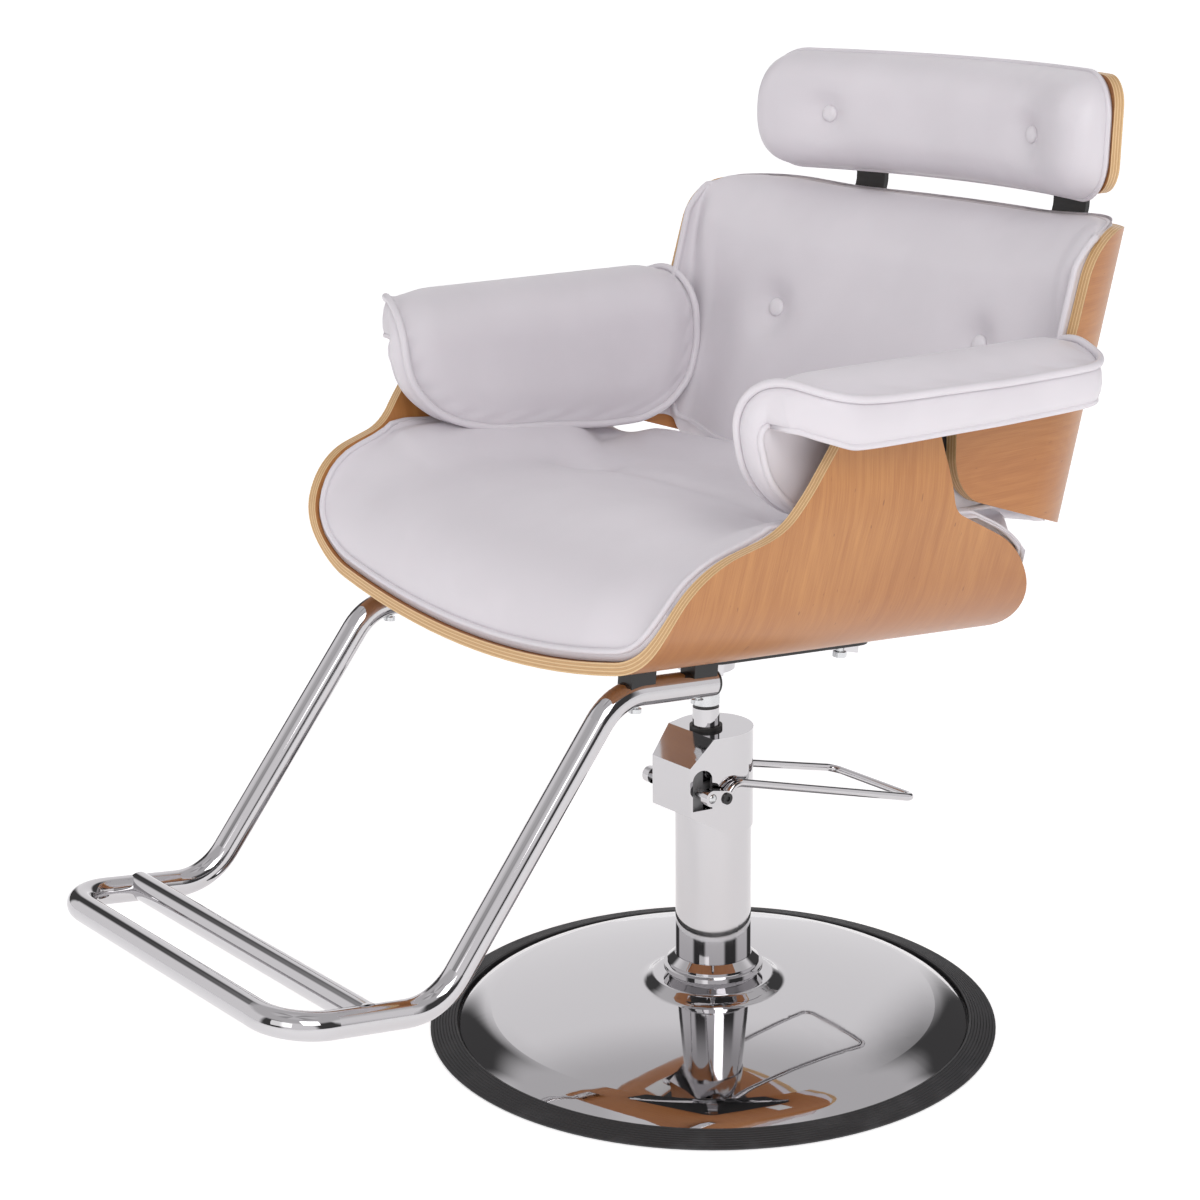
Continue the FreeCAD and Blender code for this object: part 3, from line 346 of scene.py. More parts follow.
def ply_edge(tree, depth, thickness, along):
    """Cut edge of the plywood: seven pale and tan plies with thin dark glue lines."""
    shiver = noise(tree, combine(tree, along * 0.05, depth * 0.6, 4.0), 1.0)
    ply = (depth + shiver * 0.7 - 0.35) / (thickness / 7.0)
    parity = (ply * 0.5).fract().above(0.5)
    glue = (ply.fract() - 0.5).abs().above(0.42)
    grain = noise(tree, combine(tree, along * 0.25, depth * 2.2, 8.0), 1.0)
    light = mix_color(tree, grain, (0.60, 0.375, 0.17), (0.82, 0.60, 0.335))
    tan = mix_color(tree, grain, (0.47, 0.25, 0.10), (0.66, 0.41, 0.19))
    both = mix_color(tree, parity, light, tan)
    return mix_color(tree, glue * 0.55, both, (0.24, 0.115, 0.045))


def finish_wood(tree, shader, face, cut, edge):
    """Put the face's colour, fibres and pores on the shader, and the plies where edge is 1."""
    color, fibre, pore = face
    set_color(tree, shader, mix_color(tree, edge, color, cut))
    set_roughness(tree, shader, (fibre * 0.14 + 0.33).mix(0.6, edge))
    bump(tree, shader, fibre * 0.4 - pore * 0.6, 0.10, 0.0004)


def seat_plywood():
    """Seat shell: the figure runs round the trough, the plies show where the trough is cut."""
    material, tree, shader = new_material("seat_veneer", VENEER, **LACQUER)
    x, y, z = coordinates(tree)
    nx, ny, nz = normals(tree)
    side = x.abs()
    sine, cosine = math.sin(SEAT_TILT), math.cos(SEAT_TILT)
    rise = (y - SEAT_PIVOT[0]) * sine + (z - SEAT_PIVOT[1]) * cosine
    # Centres of the corner and lip arcs, the foot of the wall, and half the shell's width.
    corner_x, corner_z = 192.4, 126.9
    wall_x, wall_z = 292.8, 96.2
    lip_x, lip_z = 170.6, 209.4
    half_width = 320.5
    # Depth below the outer face on each run of the section, from the trough up to the top edge.
    trough = SEAT_TROUGH - length(side, SEAT_TROUGH - rise)
    off_x = side - corner_x
    corner = SEAT_CORNER - length(off_x, rise - corner_z)
    wall = (side - wall_x) * -WALL_SINE + (rise - wall_z) * WALL_COSINE
    lip = SEAT_LIP - length(side - lip_x, rise - lip_z)
    depth = trough.mix(corner, side.above((SEAT_TROUGH - rise) * CORNER_SLOPE))
    depth = depth.mix(wall, rise.above(corner_z - off_x * WALL_COTANGENT))
    depth = depth.mix(lip, (side * WALL_COSINE + rise * WALL_SINE).above(250.1))
    depth = depth.mix(half_width - side, rise.above(lip_z))
    end = (ny * cosine - nz * sine).abs().above(0.22)
    edge = end.high(side.above(WING_START) * nx.abs().below(0.5))
    hearts = [(-72.0, 1180.0, 0.13), (120.0, 980.0, 0.2)]
    color, fibre, pore = veneer(tree, side + z, y, 13.0, hearts, 1.0)
    # Painted shade: the seat shell's veneer is mixed towards deep brown below z 620, most strongly
    # at its bottom, where the underside lies in shade.
    lower = (1.0 - z.smooth(450.0, 620.0)) * 0.6
    color = mix_color(tree, lower, color, (0.33, 0.115, 0.035))
    cut = ply_edge(tree, depth, SHELL_PLY, y + z)
    finish_wood(tree, shader, (color, fibre, pore), cut, edge)
    return material


def back_plywood():
    """Back shell: the figure runs round the back, and arches near the outer end of each wing."""
    material, tree, shader = new_material("back_veneer", VENEER, **LACQUER)
    x, y, z = coordinates(tree)
    nx, ny, nz = normals(tree)
    side = x.abs()
    level = y - (z - BACK_LEVEL) * math.tan(BACK_LEAN)
    ahead = level - BACK_CENTRE
    broad = BACK_RADIUS - length(side, ahead)
    corner = BACK_CORNER - length(side - BACK_CORNER_X, level - BACK_CORNER_Y)
    depth = broad.mix(corner, side.above(ahead * CORNER_SLOPE))
    half_width = 300.0
    depth = depth.mix(half_width - side, level.below(BACK_CORNER_Y))
    end = (ny * math.sin(BACK_LEAN) + nz * math.cos(BACK_LEAN)).abs().above(0.15)
    edge = end.high(side.above(WING_START) * nx.abs().below(0.5))
    hearts = [(634.0, 168.0, 0.3), (742.0, -20.0, 0.08)]
    color, fibre, pore = veneer(tree, side - y, z, 9.0, hearts, 5.0)
    color = mix_color(tree, 0.3, color, (0.40, 0.135, 0.03))
    cut = ply_edge(tree, depth * 0.96, SHELL_PLY, y + z)
    finish_wood(tree, shader, (color, fibre, pore), cut, edge)
    return material


def headrest_plywood():
    """Headrest shell: the figure runs across it."""
    material, tree, shader = new_material("headrest_veneer", VENEER, **LACQUER)
    x, y, z = coordinates(tree)
    nx, ny, _ = normals(tree)
    ahead = y - (z - HEAD_LEVEL) * math.tan(HEAD_LEAN) - HEAD_CENTRE
    depth = HEAD_RADIUS - length(x, ahead)
    edge = ((nx * x + ny * ahead) / HEAD_RADIUS).abs().below(0.8)
    face = veneer(tree, x, z, 10.0, [(905.0, 60.0, 0.1), (985.0, -180.0, 0.14)], 9.0)
    finish_wood(tree, shader, face, ply_edge(tree, depth, 13.0, x + z), edge)
    return material


def board_plywood():
    """Flat boards under the arm pads."""
    material, tree, shader = new_material("board_veneer", VENEER)
    board_foot, board_ply = 700.0, 10.0
    x, y, z = coordinates(tree)
    _, _, nz = normals(tree)
    face = veneer(tree, y, x, 10.0, [(300.0, 0.0, 0.1)], 12.0)
    cut = ply_edge(tree, z - board_foot, board_ply, x + y)
    finish_wood(tree, shader, face, cut, nz.abs().below(0.5))
    return material


# =============================================================================================
# Mesh helpers
# =============================================================================================


def dress(obj, material, node=None):
    """Give a soft piece its material and its body, and hide the CAD node that it replaces."""
    bpy.context.scene.collection.objects.link(obj)
    obj.data.materials.append(material)
    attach(obj, "seat")
    if node:
        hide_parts(node)


def make_mesh(name, points, faces, material, node):
    mesh = bpy.data.meshes.new(name)
    mesh.from_pydata((np.array(points) * MM).tolist(), [], faces)
    mesh.validate()
    mesh.update()
    for polygon in mesh.polygons:
        polygon.use_smooth = True
    dress(bpy.data.objects.new(name, mesh), material, node)


def sheet_faces(rows, columns):
    """Faces of two grids that face each other, one listed after the other, and their rim."""
    half = rows * columns
    faces = []
    for i in range(rows - 1):
        for j in range(columns - 1):
            a, b = i * columns + j, (i + 1) * columns + j
            faces.append((a, b, b + 1, a + 1))
            faces.append((half + a, half + a + 1, half + b + 1, half + b))
    rim = [i * columns for i in range(rows)]
    rim += [(rows - 1) * columns + j for j in range(1, columns)]
    rim += [i * columns + columns - 1 for i in range(rows - 2, -1, -1)]
    rim += list(range(columns - 2, 0, -1))
    return faces, rim


def band_faces(ring, after):
    """Faces between two closed rings with the same number of points."""
    faces = []
    for k in range(len(ring)):
        n = (k + 1) % len(ring)
        faces.append((ring[n], ring[k], after[k], after[n]))
    return faces


def turned(faces):
    return [tuple(reversed(face)) for face in faces]


def closed_sheet(top, bottom):
    """Points and faces of a closed body between two grids of the same size."""
    rows, columns = top.shape[:2]
    points = np.concatenate([top.reshape(-1, 3), bottom.reshape(-1, 3)])
    faces, rim = sheet_faces(rows, columns)
    return points, faces + band_faces(rim, [rows * columns + k for k in rim])


def welt(name, points, material, closed=False, radius=3.0):
    """A round piping cord along a run of points."""
    curve = bpy.data.curves.new(name, "CURVE")
    curve.dimensions = "3D"
    curve.bevel_depth = radius * MM
    curve.bevel_resolution = 4
    curve.use_fill_caps = True
    spline = curve.splines.new("POLY")
    spline.points.add(len(points) - 1)
    for point, place in zip(spline.points, points):
        point.co = (*(float(c) * MM for c in place), 1)
    spline.use_cyclic_u = closed
    spline.use_smooth = True
    dress(bpy.data.objects.new(name, curve), material)


def rounded_path(points, closed=False):
    """Points along straight runs joined by tangent arcs; each corner is (a, b, radius)."""
    arc_step = 4.0
    spots = [np.array(p[:2], float) for p in points]
    out = []
    count = len(points)
    for index, spot in enumerate(spots):
        radius = points[index][2]
        if radius == 0 or (not closed and index in (0, count - 1)):
            out.append(spot)
            continue
        back = spots[index - 1] - spot
        ahead = spots[(index + 1) % count] - spot
        back, ahead = back / np.linalg.norm(back), ahead / np.linalg.norm(ahead)
        half = math.acos(max(-1.0, min(1.0, float(back @ ahead)))) / 2
        reach = radius / math.tan(half)
        middle = back + ahead
        centre = spot + middle / np.linalg.norm(middle) * radius / math.sin(half)
        first, last = spot + back * reach - centre, spot + ahead * reach - centre
        turn = math.pi - 2 * half
        steps = max(2, int(radius * turn / arc_step))
        sign = 1 if first[0] * last[1] - first[1] * last[0] > 0 else -1
        for k in range(steps + 1):
            a = sign * turn * k / steps
            out.append(centre + np.array([first[0] * math.cos(a) - first[1] * math.sin(a),
                                          first[0] * math.sin(a) + first[1] * math.cos(a)]))
    if closed:
        out.append(out[0])
    return np.array(out)


def resample(path, count, closed=False):
    """Evenly spaced points along a path of any dimension."""
    steps = np.linalg.norm(np.diff(path, axis=0), axis=1)
    lengths = np.concatenate([[0], np.cumsum(steps)])
    places = np.linspace(0, lengths[-1], count, endpoint=not closed)
    columns = [np.interp(places, lengths, path[:, k]) for k in range(path.shape[1])]
    return np.stack(columns, axis=1)


def from_0_to_1(count, start=0.0, end=1.0):
    """Numbers from 0 to 1, closer together at both ends; start and end leave the tips out."""
    return (1 - np.cos(np.linspace(start, end, count) * math.pi)) / 2


def from_side_to_side(count):
    """Numbers from -1 to 1, closer together at both ends."""
    return np.sin(np.linspace(-1, 1, count) * math.pi / 2)


def nearest(values, wanted):
    """Place of the value nearest to the one wanted."""
    return int(np.argmin(np.abs(values - wanted)))


def crown(distance, reach, power):
    """0 at a seam, rising steeply and levelling off to 1 once distance passes reach."""
    left = np.clip(1 - distance / reach, 0, 1)
    return (1 - left ** power) ** (1 / power)


def smooth(value, start, end):
    """0 before start, 1 after end, and a smooth rise between."""
    t = np.clip((value - start) / (end - start), 0, 1)
    return t * t * (3 - 2 * t)


def hump(distance, width):
    """1 at distance 0, falling away on both sides."""
    return np.exp(-(distance / width) ** 2)


def dimple(distance, depth, radius):
    """How far a button pulls the cushion in: a pit with a shallow dish round it."""
    return depth * (0.72 * hump(distance, radius) + 0.28 * hump(distance, 2.4 * radius))


# =============================================================================================
# Buttons
# =============================================================================================
# A cap's section from its top to its back, as parts of its radius and its height.
CAP_PROFILE = [(0.0, 1.0), (0.35, 0.965), (0.6, 0.86), (0.8, 0.68),
               (0.93, 0.42), (1.0, 0.1), (0.97, -0.3), (0.7, -0.9)]
CAP_HEIGHT = 4.2


def build_buttons(name, places, material, node, radius):
    """Covered buttons: a domed cap with a rolled edge, set square to the surface at each place."""
    points, faces = [], []
    turns = 32
    for place, normal in places:
        axis = normal / np.linalg.norm(normal)
        side = np.cross(axis, [0, 0, 1.0] if abs(axis[2]) < 0.9 else [1.0, 0, 0])
        side /= np.linalg.norm(side)
        other = np.cross(axis, side)
        top = len(points)
        points.append(place + axis * CAP_HEIGHT)
        for reach, level in CAP_PROFILE[1:]:
            for k in range(turns):
                a = 2 * math.pi * k / turns
                ring = side * math.cos(a) + other * math.sin(a)
                points.append(place + ring * radius * reach + axis * CAP_HEIGHT * level)
        for k in range(turns):
            faces.append((top, top + 1 + k, top + 1 + (k + 1) % turns))
        for r in range(len(CAP_PROFILE) - 2):
            for k in range(turns):
                a, b = top + 1 + r * turns + k, top + 1 + r * turns + (k + 1) % turns
                faces.append((a, a + turns, b + turns, b))
        last = top + 1 + (len(CAP_PROFILE) - 2) * turns
        faces.append(tuple(range(last + turns - 1, last - 1, -1)))
    make_mesh(name, points, faces, material, node)


# =============================================================================================
# Seat cushion
# =============================================================================================
# Side of the seat shell, as (y, z, corner radius), from the front to the rear.
SEAT_OUTLINE = [(-303, 400, 0), (-300, 594, 88), (-190, 623, 60), (-92, 745, 20),
                (-26, 745, 20), (22, 610, 32), (166, 538, 140), (166, 380, 0)]


def seat_section(offset):
    """Half section of the seat shell, moved inwards: x across and height above the trough."""
    arc_steps = 24
    # Each run is an arc's radius and turn in degrees, or None and a straight length.
    runs = [(SEAT_TROUGH - offset, 13.0), (SEAT_CORNER - offset, 60.0), (None, 72.5),
            (SEAT_LIP - offset, 17.0), (None, 70.0)]
    x, h, angle = 0.0, float(offset), 0.0
    out = [(x, h)]
    for radius, amount in runs:
        if radius is None:
            x, h = x + amount * math.cos(angle), h + amount * math.sin(angle)
            out.append((x, h))
            continue
        centre = (x - radius * math.sin(angle), h + radius * math.cos(angle))
        turn = math.radians(amount)
        for k in range(1, arc_steps + 1):
            a = angle + turn * k / arc_steps
            out.append((centre[0] + radius * math.sin(a), centre[1] - radius * math.cos(a)))
        angle += turn
        x, h = out[-1]
    return np.array(out)


def seat_z(h, y):
    """World height of a point h above the trough at depth y."""
    level = SEAT_PIVOT[1] - (y - SEAT_PIVOT[0]) * math.tan(SEAT_TILT)
    return level + h / math.cos(SEAT_TILT)


def seat_outline_z(y):
    """Height of the top of the seat shell's side at depth y."""
    top = 745.0
    path = rounded_path(SEAT_OUTLINE)
    path = path[path[:, 1] < top - 1]
    rising = path[path[:, 0] <= -80]
    falling = path[(path[:, 0] >= -40) & (path[:, 1] > 470)]
    low = np.interp(y, rising[:, 0], rising[:, 1], left=-1e3)
    high = np.interp(y, falling[:, 0], falling[:, 1])
    return np.where(y < -80, low, np.where(y > -40, high, top))


def build_seat_cushion(material, button_material):
    """Seat cushion: fills the trough, rises at the sides and is pulled in by two buttons."""
    columns, rows = 121, 101
    button_x, button_y = SEAT_BUTTON
    # The under face lies just clear of the 12 mm shell, and the seam a little above it.
    inner, rim = seat_section(12.6), seat_section(21.0)
    half_width = rim[:, 0].max() - 1.0
    inner_width = inner[:, 0].max() - 0.4
    xs = half_width * from_side_to_side(columns)
    across = np.abs(xs)
    rim_h = np.interp(across, rim[:, 0], rim[:, 1])
    inner_h = np.interp(across * inner_width / half_width, inner[:, 0], inner[:, 1])
    scan = np.arange(-297.0, -100.0, 0.5)
    outline = seat_outline_z(scan - 3.0)
    front = np.array([scan[np.argmax(outline >= seat_z(h, scan))] for h in rim_h])
    rear_end = 163.0 - 24.0 * (np.clip(across - 230.0, 0, None) / 56.0) ** 2
    y = front[:, None] + (rear_end - front)[:, None] * from_0_to_1(rows)[None, :]
    x = np.repeat(xs[:, None], rows, axis=1)
    wide = np.abs(x)
    cap = 624.0 - np.clip(y + 168.0, 0, None) * 0.104
    side_top = np.minimum(cap, seat_outline_z(y) + np.where(y < -150, -3.0, 9.0))
    seam = np.minimum(seat_z(rim_h[:, None], y), side_top)
    middle = seat_z(139.0 + 5.0 * (1 - (x / 280.0) ** 2), y) + smooth(y, 60, 150) * 11
    bank = smooth(wide, 175 + 85 * smooth(y, 0, 70), 290)
    inside = middle + bank * (np.minimum(side_top, cap) + 5.0 - middle)
    rise = (crown(y - front[:, None], 205.0, 2.25) * crown(half_width - wide, 26.0, 2.0)
            * crown(rear_end[:, None] - y, 15.0, 2.0))
    z = seam + np.maximum(inside - seam, 2.0) * rise
    for sign in (-1, 1):
        off_x, off_y = x - sign * button_x, y - button_y
        z -= dimple(np.hypot(off_x, off_y), 23.0, 24.0)
        furrow = 1.6 * hump(off_y, 16) * smooth(np.abs(off_x), 20, 60)
        z -= furrow * (1 - smooth(wide, 150, 235))
    top = np.stack([x, y, z], axis=2)
    floor = np.minimum(seat_z(inner_h[:, None], y), z - 3.0)
    bottom = np.stack([x * inner_width / half_width, y, floor], axis=2)
    points, faces = closed_sheet(top, bottom)
    make_mesh("seat_cushion_cover", points, faces, material, "seat_cushion")
    # One welt runs round the front as far as this row of the sides, the other round the rear.
    meet = 40
    front_seam = np.concatenate([top[0, meet:0:-1], top[:, 0], top[-1, 1:meet + 1]])
    rear_seam = np.concatenate([top[0, meet:], top[1:-1, -1], top[-1, :meet:-1]])
    welt("seat_welt", resample(front_seam, 420) + np.array([0, -1.0, 1.0]), material)
    welt("seat_rear_welt", resample(rear_seam, 380), material)
    buttons = []
    for sign in (-1, 1):
        i = nearest(xs, sign * button_x)
        j = nearest(y[i], button_y)
        place = np.array([sign * button_x, button_y, z[i, j] + 1.0])
        buttons.append((place, np.array([0, 0.09, 1.0])))
    build_buttons("seat_button_caps", buttons, button_material, "seat_buttons", 9.5)


# =============================================================================================
# Back cushion
# =============================================================================================


def back_plan(x, offset):
    """Depth of the back shell's outer face, moved forward by an offset, at BACK_LEVEL."""
    corner_x = 174.14
    x = np.abs(x)
    radius, corner = BACK_RADIUS - offset, BACK_CORNER - offset
    big = BACK_CENTRE + np.sqrt(radius ** 2 - x ** 2)
    small = BACK_CORNER_Y + np.sqrt(np.clip(corner ** 2 - (x - corner_x) ** 2, 0, None))
    meet = radius * math.sin(math.radians(13))
    return np.where(x < meet, big, small)


def back_rim(z):
    """Depth of the cushion's upper seam, just in front of the shell's edge."""
    return np.interp(z, [805, 811, 817, 827, 836, 841, 845, 848],
                     [217, 218, 220, 226, 234, 241, 250, 262])


def lean_back(level, z):
    """World y of a point whose depth at BACK_LEVEL is level."""
    return level + (z - BACK_LEVEL) * math.tan(BACK_LEAN)


def build_back_cushion(material, button_material):
    """Back cushion: crowned in front of the back shell, with pockets for the arms' rears."""
    columns, rows = 141, 111
    half_width, seam_width, rear_width = 284.6, 285.9, 286.6
    button_x, button_z = BACK_BUTTON
    xs = half_width * from_side_to_side(columns)
    x = np.repeat(xs[:, None], rows, axis=1)
    wide = np.abs(x)
    share = wide / half_width
    high = 838.0 + 7.0 * smooth(wide, 120, 252) - 5.0 * smooth(wide, 268, 284.6)
    low = 546.0 + 24.0 * share ** 4.5 + 20.0 * smooth(wide, 262.0, 282.0)
    z = low + (high - low) * from_0_to_1(rows)[None, :]
    seam = np.maximum(back_plan(x * seam_width / half_width, 14.0), back_rim(z))
    front = 250.0 - 24.0 * share ** 2 - 5.0 * hump(z - 690, 90) * (1 - share ** 2)
    front -= 10.0 * smooth(share, 0.86, 1.0)
    front += 21.0 * smooth(wide, 165.0, 252.0) * (1 - smooth(z, 700.0, 815.0))
    rise = (crown(high - z, 52.0, 2.1) * crown(z - low, 30.0, 2.2)
            * crown(half_width - wide, 30.0, 2.0))
    level = seam - np.maximum(seam - front, 2.0) * rise
    gather = np.sin(wide * 0.19 + 1.3 * np.sin(x * 0.045)) * hump(high - z - 12.0, 13.0)
    level += 0.7 * gather * smooth(high - z, 2.0, 9.0) * (1 - smooth(share, 0.9, 1.0))
    for sign in (-1, 1):
        level += dimple(np.hypot(x - sign * button_x, z - button_z), 20.0, 25.0)
    # Half way up the crown at the top, the surface swells over the seam.
    part_way = np.clip(rise, 0, 1)
    swell = 9.0 * 4 * part_way * (1 - part_way) * smooth(z, 780.0, 822.0)
    z = z + swell * smooth(seam - front, 4.0, 30.0)
    y = lean_back(level, z)
    front_face = np.stack([x, y, z], axis=2)
    rear_x = x * rear_width / half_width
    rear_level = np.maximum(np.maximum(back_plan(rear_x, 13.2), back_rim(z) + 1.0), level + 1.5)
    rear_face = np.stack([rear_x, lean_back(rear_level, z), z], axis=2)
    points, faces = closed_sheet(front_face, rear_face)
    make_mesh("back_cushion_cover", points, turned(faces), material, "back_cushion")
    seam_path = np.concatenate([front_face[0, 2:-1], front_face[:, -1], front_face[-1, -2:1:-1]])
    welt("back_welt", resample(seam_path + np.array([0, -1.0, 0]), 460), material, radius=3.6)
    # The lower welt runs across 27 mm above the bottom edge.
    centre = columns // 2
    row = nearest(z[centre] - low[centre], 27.0)
    welt("back_lower_welt", resample(front_face[4:-4, row], 200), material)
    buttons = []
    for sign in (-1, 1):
        i = nearest(xs, sign * button_x)
        j = nearest(z[i], button_z)
        place = np.array([sign * button_x, y[i, j] - 2.0, button_z])
        buttons.append((place, np.array([-sign * 0.1, -1.0, 0.28])))
    build_buttons("back_button_caps", buttons, button_material, "back_buttons", 10.0)


# =============================================================================================
# Headrest cushion
# =============================================================================================


def head_plan(x, offset):
    """Depth of the headrest shell's outer face, moved forward by an offset, at HEAD_LEVEL."""
    return HEAD_CENTRE + np.sqrt((HEAD_RADIUS - offset) ** 2 - x ** 2)


def head_y(level, z):
    """World y of a point whose depth at HEAD_LEVEL is level."""
    return level + (z - HEAD_LEVEL) * math.tan(HEAD_LEAN)


def build_headrest(material, button_material):
    """Headrest cushion: a crowned pad with round corners in front of its shell."""
    columns, rows = 131, 61
    half_width, low, high, corner = 245.0, 864.0, 988.0, 43.0
    seam_offset = 19.0
    button_x, button_z = HEAD_BUTTON
    middle_z, half_height = (low + high) / 2, (high - low) / 2
    xs = half_width * from_side_to_side(columns)
    x = np.repeat(xs[:, None], rows, axis=1)
    ends = half_width - np.abs(x)
    inside = np.clip((np.abs(x) - (half_width - corner)) / corner, 0, 1)
    tall = half_height - corner + corner * np.sqrt(np.clip(1 - inside ** 2, 0, 1))
    z_local = from_side_to_side(rows)[None, :] * tall
    z = z_local + middle_z
    depth = tall - np.abs(z_local)
    thickness = 48.0 * crown(depth, 44.0, 2.15) * crown(ends, 52.0, 2.2)
    gather = np.sin(np.abs(x) * 0.21 + 1.1 * np.sin(x * 0.05)) * hump(depth - 10.0, 9.0)
    thickness += 0.6 * gather * smooth(ends, 20.0, 60.0)
    level = head_plan(x, seam_offset) - thickness
    for sign in (-1, 1):
        level += dimple(np.hypot(x - sign * button_x, z - button_z), 16.0, 22.0)
    y = head_y(level, z)
    rear_y = head_y(np.maximum(head_plan(x, 13.4), level + 1.0), z)
    points, faces = closed_sheet(np.stack([x, y, z], axis=2), np.stack([x, rear_y, z], axis=2))
    make_mesh("headrest_cover", points, turned(faces), material, "headrest_cushion")
    corners = [(-half_width, -half_height, corner), (half_width, -half_height, corner),
               (half_width, half_height, corner), (-half_width, half_height, corner)]
    rim = resample(rounded_path(corners, closed=True), 400, closed=True)
    rim_x, rim_z = rim[:, 0], rim[:, 1] + middle_z
    rim_y = head_y(head_plan(rim_x, seam_offset), rim_z)
    welt("headrest_welt", np.stack([rim_x, rim_y, rim_z], axis=1), material, closed=True)
    buttons = []
    for sign in (-1, 1):
        i = nearest(xs, sign * button_x)
        j = nearest(z[i], button_z)
        place = np.array([sign * button_x, y[i, j] - 1.5, button_z])
        buttons.append((place, np.array([-sign * 0.25, -1.0, 0.04])))
    build_buttons("headrest_button_caps", buttons, button_material, "headrest_buttons", 9.0)


# =============================================================================================
# Arm pads
# =============================================================================================
# The pad is laid out flat: w runs from its outer edge over the crown and down the flap inside
# the arm, and y is the chair's own. The outline is its seam, as (w, y).
ARM_OUTLINE = [
    (10, 123), (9, 39), (12, -37), (13, -74), (15, -110), (19, -136), (32, -157), (49, -170),
    (66, -181), (95, -190), (120, -193), (140, -192), (155, -189), (170, -185), (185, -175),
    (200, -160), (212, -142), (222, -116), (230, -80), (235, -12), (243, 60), (244, 117),
    (232, 155), (208, 182), (173, 193.6), (157, 194), (141, 193.6), (113, 191), (88, 188.5),
    (50, 187), (25, 182), (12, 163)]
ARM_EDGE = (366.0, 731.9)  # x and z where w is 0
ARM_SLOPE = math.radians(18.0)
ARM_BOARD = 51.3  # w where the sloping board ends and the crown begins
ARM_ROLL = 86.7  # length of w over the crown
ARM_CROWN = (303.0, 704.0, 46.0)  # x, z and radius
ARM_INNER = 284.0  # x where the underside turns down into the flap


def arm_upper(w, y):
    """Upper face of the arm pad and its outward direction, at w and y."""
    centre_x, centre_z, radius = ARM_CROWN
    turn = math.pi / 2 - ARM_SLOPE + np.clip(w - ARM_BOARD, 0, ARM_ROLL) / radius
    flat = np.clip(w, None, ARM_BOARD)
    drop = np.clip(w - ARM_BOARD - ARM_ROLL, 0, None)
    on_board = w < ARM_BOARD
    x = np.where(on_board, ARM_EDGE[0] - flat * math.cos(ARM_SLOPE),
                 centre_x + radius * np.cos(turn))
    z = np.where(on_board, ARM_EDGE[1] + flat * math.sin(ARM_SLOPE),
                 centre_z + radius * np.sin(turn))
    z = z - drop + (24.0 - y) * 0.013
    outward = np.stack([np.cos(turn), np.zeros_like(w), np.sin(turn)], axis=-1)
    return np.stack([x, y, z], axis=-1), outward


def arm_lower(w, y):
    """Under face of the arm pad, which lies on the board and the inside of the wing."""
    bend = 24.0
    bend_length = bend * math.pi / 2
    flap_sum = 842.0  # w plus height, all the way down the flap
    front = 1 - smooth(y, -178.0, -136.0)
    edge = 697.0 + 4.0 * smooth(-y, 70.0, 150.0)
    corner = 699.6 + 15.4 * front
    start, end = ARM_EDGE[0] - ARM_BOARD * math.cos(ARM_SLOPE), flap_sum + bend - corner
    run = start - ARM_INNER - bend
    travel = np.clip((w - ARM_BOARD) / (end - ARM_BOARD), 0, 1) * (run + bend_length)
    flat = np.where(w < ARM_BOARD, ARM_EDGE[0] - w * math.cos(ARM_SLOPE),
                    start - np.clip(travel, 0, run))
    turn = np.clip(travel - run, 0, bend_length) / bend
    reach = np.clip((ARM_EDGE[0] - flat) / (ARM_EDGE[0] - ARM_INNER - bend), 0, 1)
    reach = reach * front + (1 - front) * smooth(reach, -0.2, 0.25)
    z = edge + (corner - edge) * reach - bend * (1 - np.cos(turn)) - np.clip(w - end, 0, None)
    x = flat - bend * np.sin(turn)
    # Behind the front, the flap stays clear of the inside of the back shell's corner.
    level = y - (z - BACK_LEVEL) * math.tan(BACK_LEAN)
    inner_radius = 113.3
    ahead = np.clip(level - BACK_CORNER_Y, 0, 113.0)
    shell = BACK_CORNER_X + np.sqrt(np.clip(inner_radius ** 2 - ahead ** 2, 0, None))
    hanging = np.minimum(x, np.maximum(shell - 3.4, 262.0))
    return np.stack([np.where(flat < 308.5, hanging, x), y, z], axis=-1)


def arm_loop():
    """The pad's seam, rounded off, as (w, y) points about 2 mm apart."""
    loop = resample(np.array(ARM_OUTLINE + ARM_OUTLINE[:1], float), 480, closed=True)
    shifts = range(-14, 15)
    weights = hump(np.array(shifts), 6.0)
    weights /= weights.sum()
    return sum(weight * np.roll(loop, k, axis=0) for k, weight in zip(shifts, weights))


def arm_outwards(places):
    """Steps 1 mm long in (w, y), away from the middle of the pad."""
    w, y = places[:, 0], places[:, 1]
    away = places - np.stack([np.clip(w, 118, 150), np.clip(y, -110, 110)], axis=1)
    return away / np.linalg.norm(away, axis=1)[:, None]


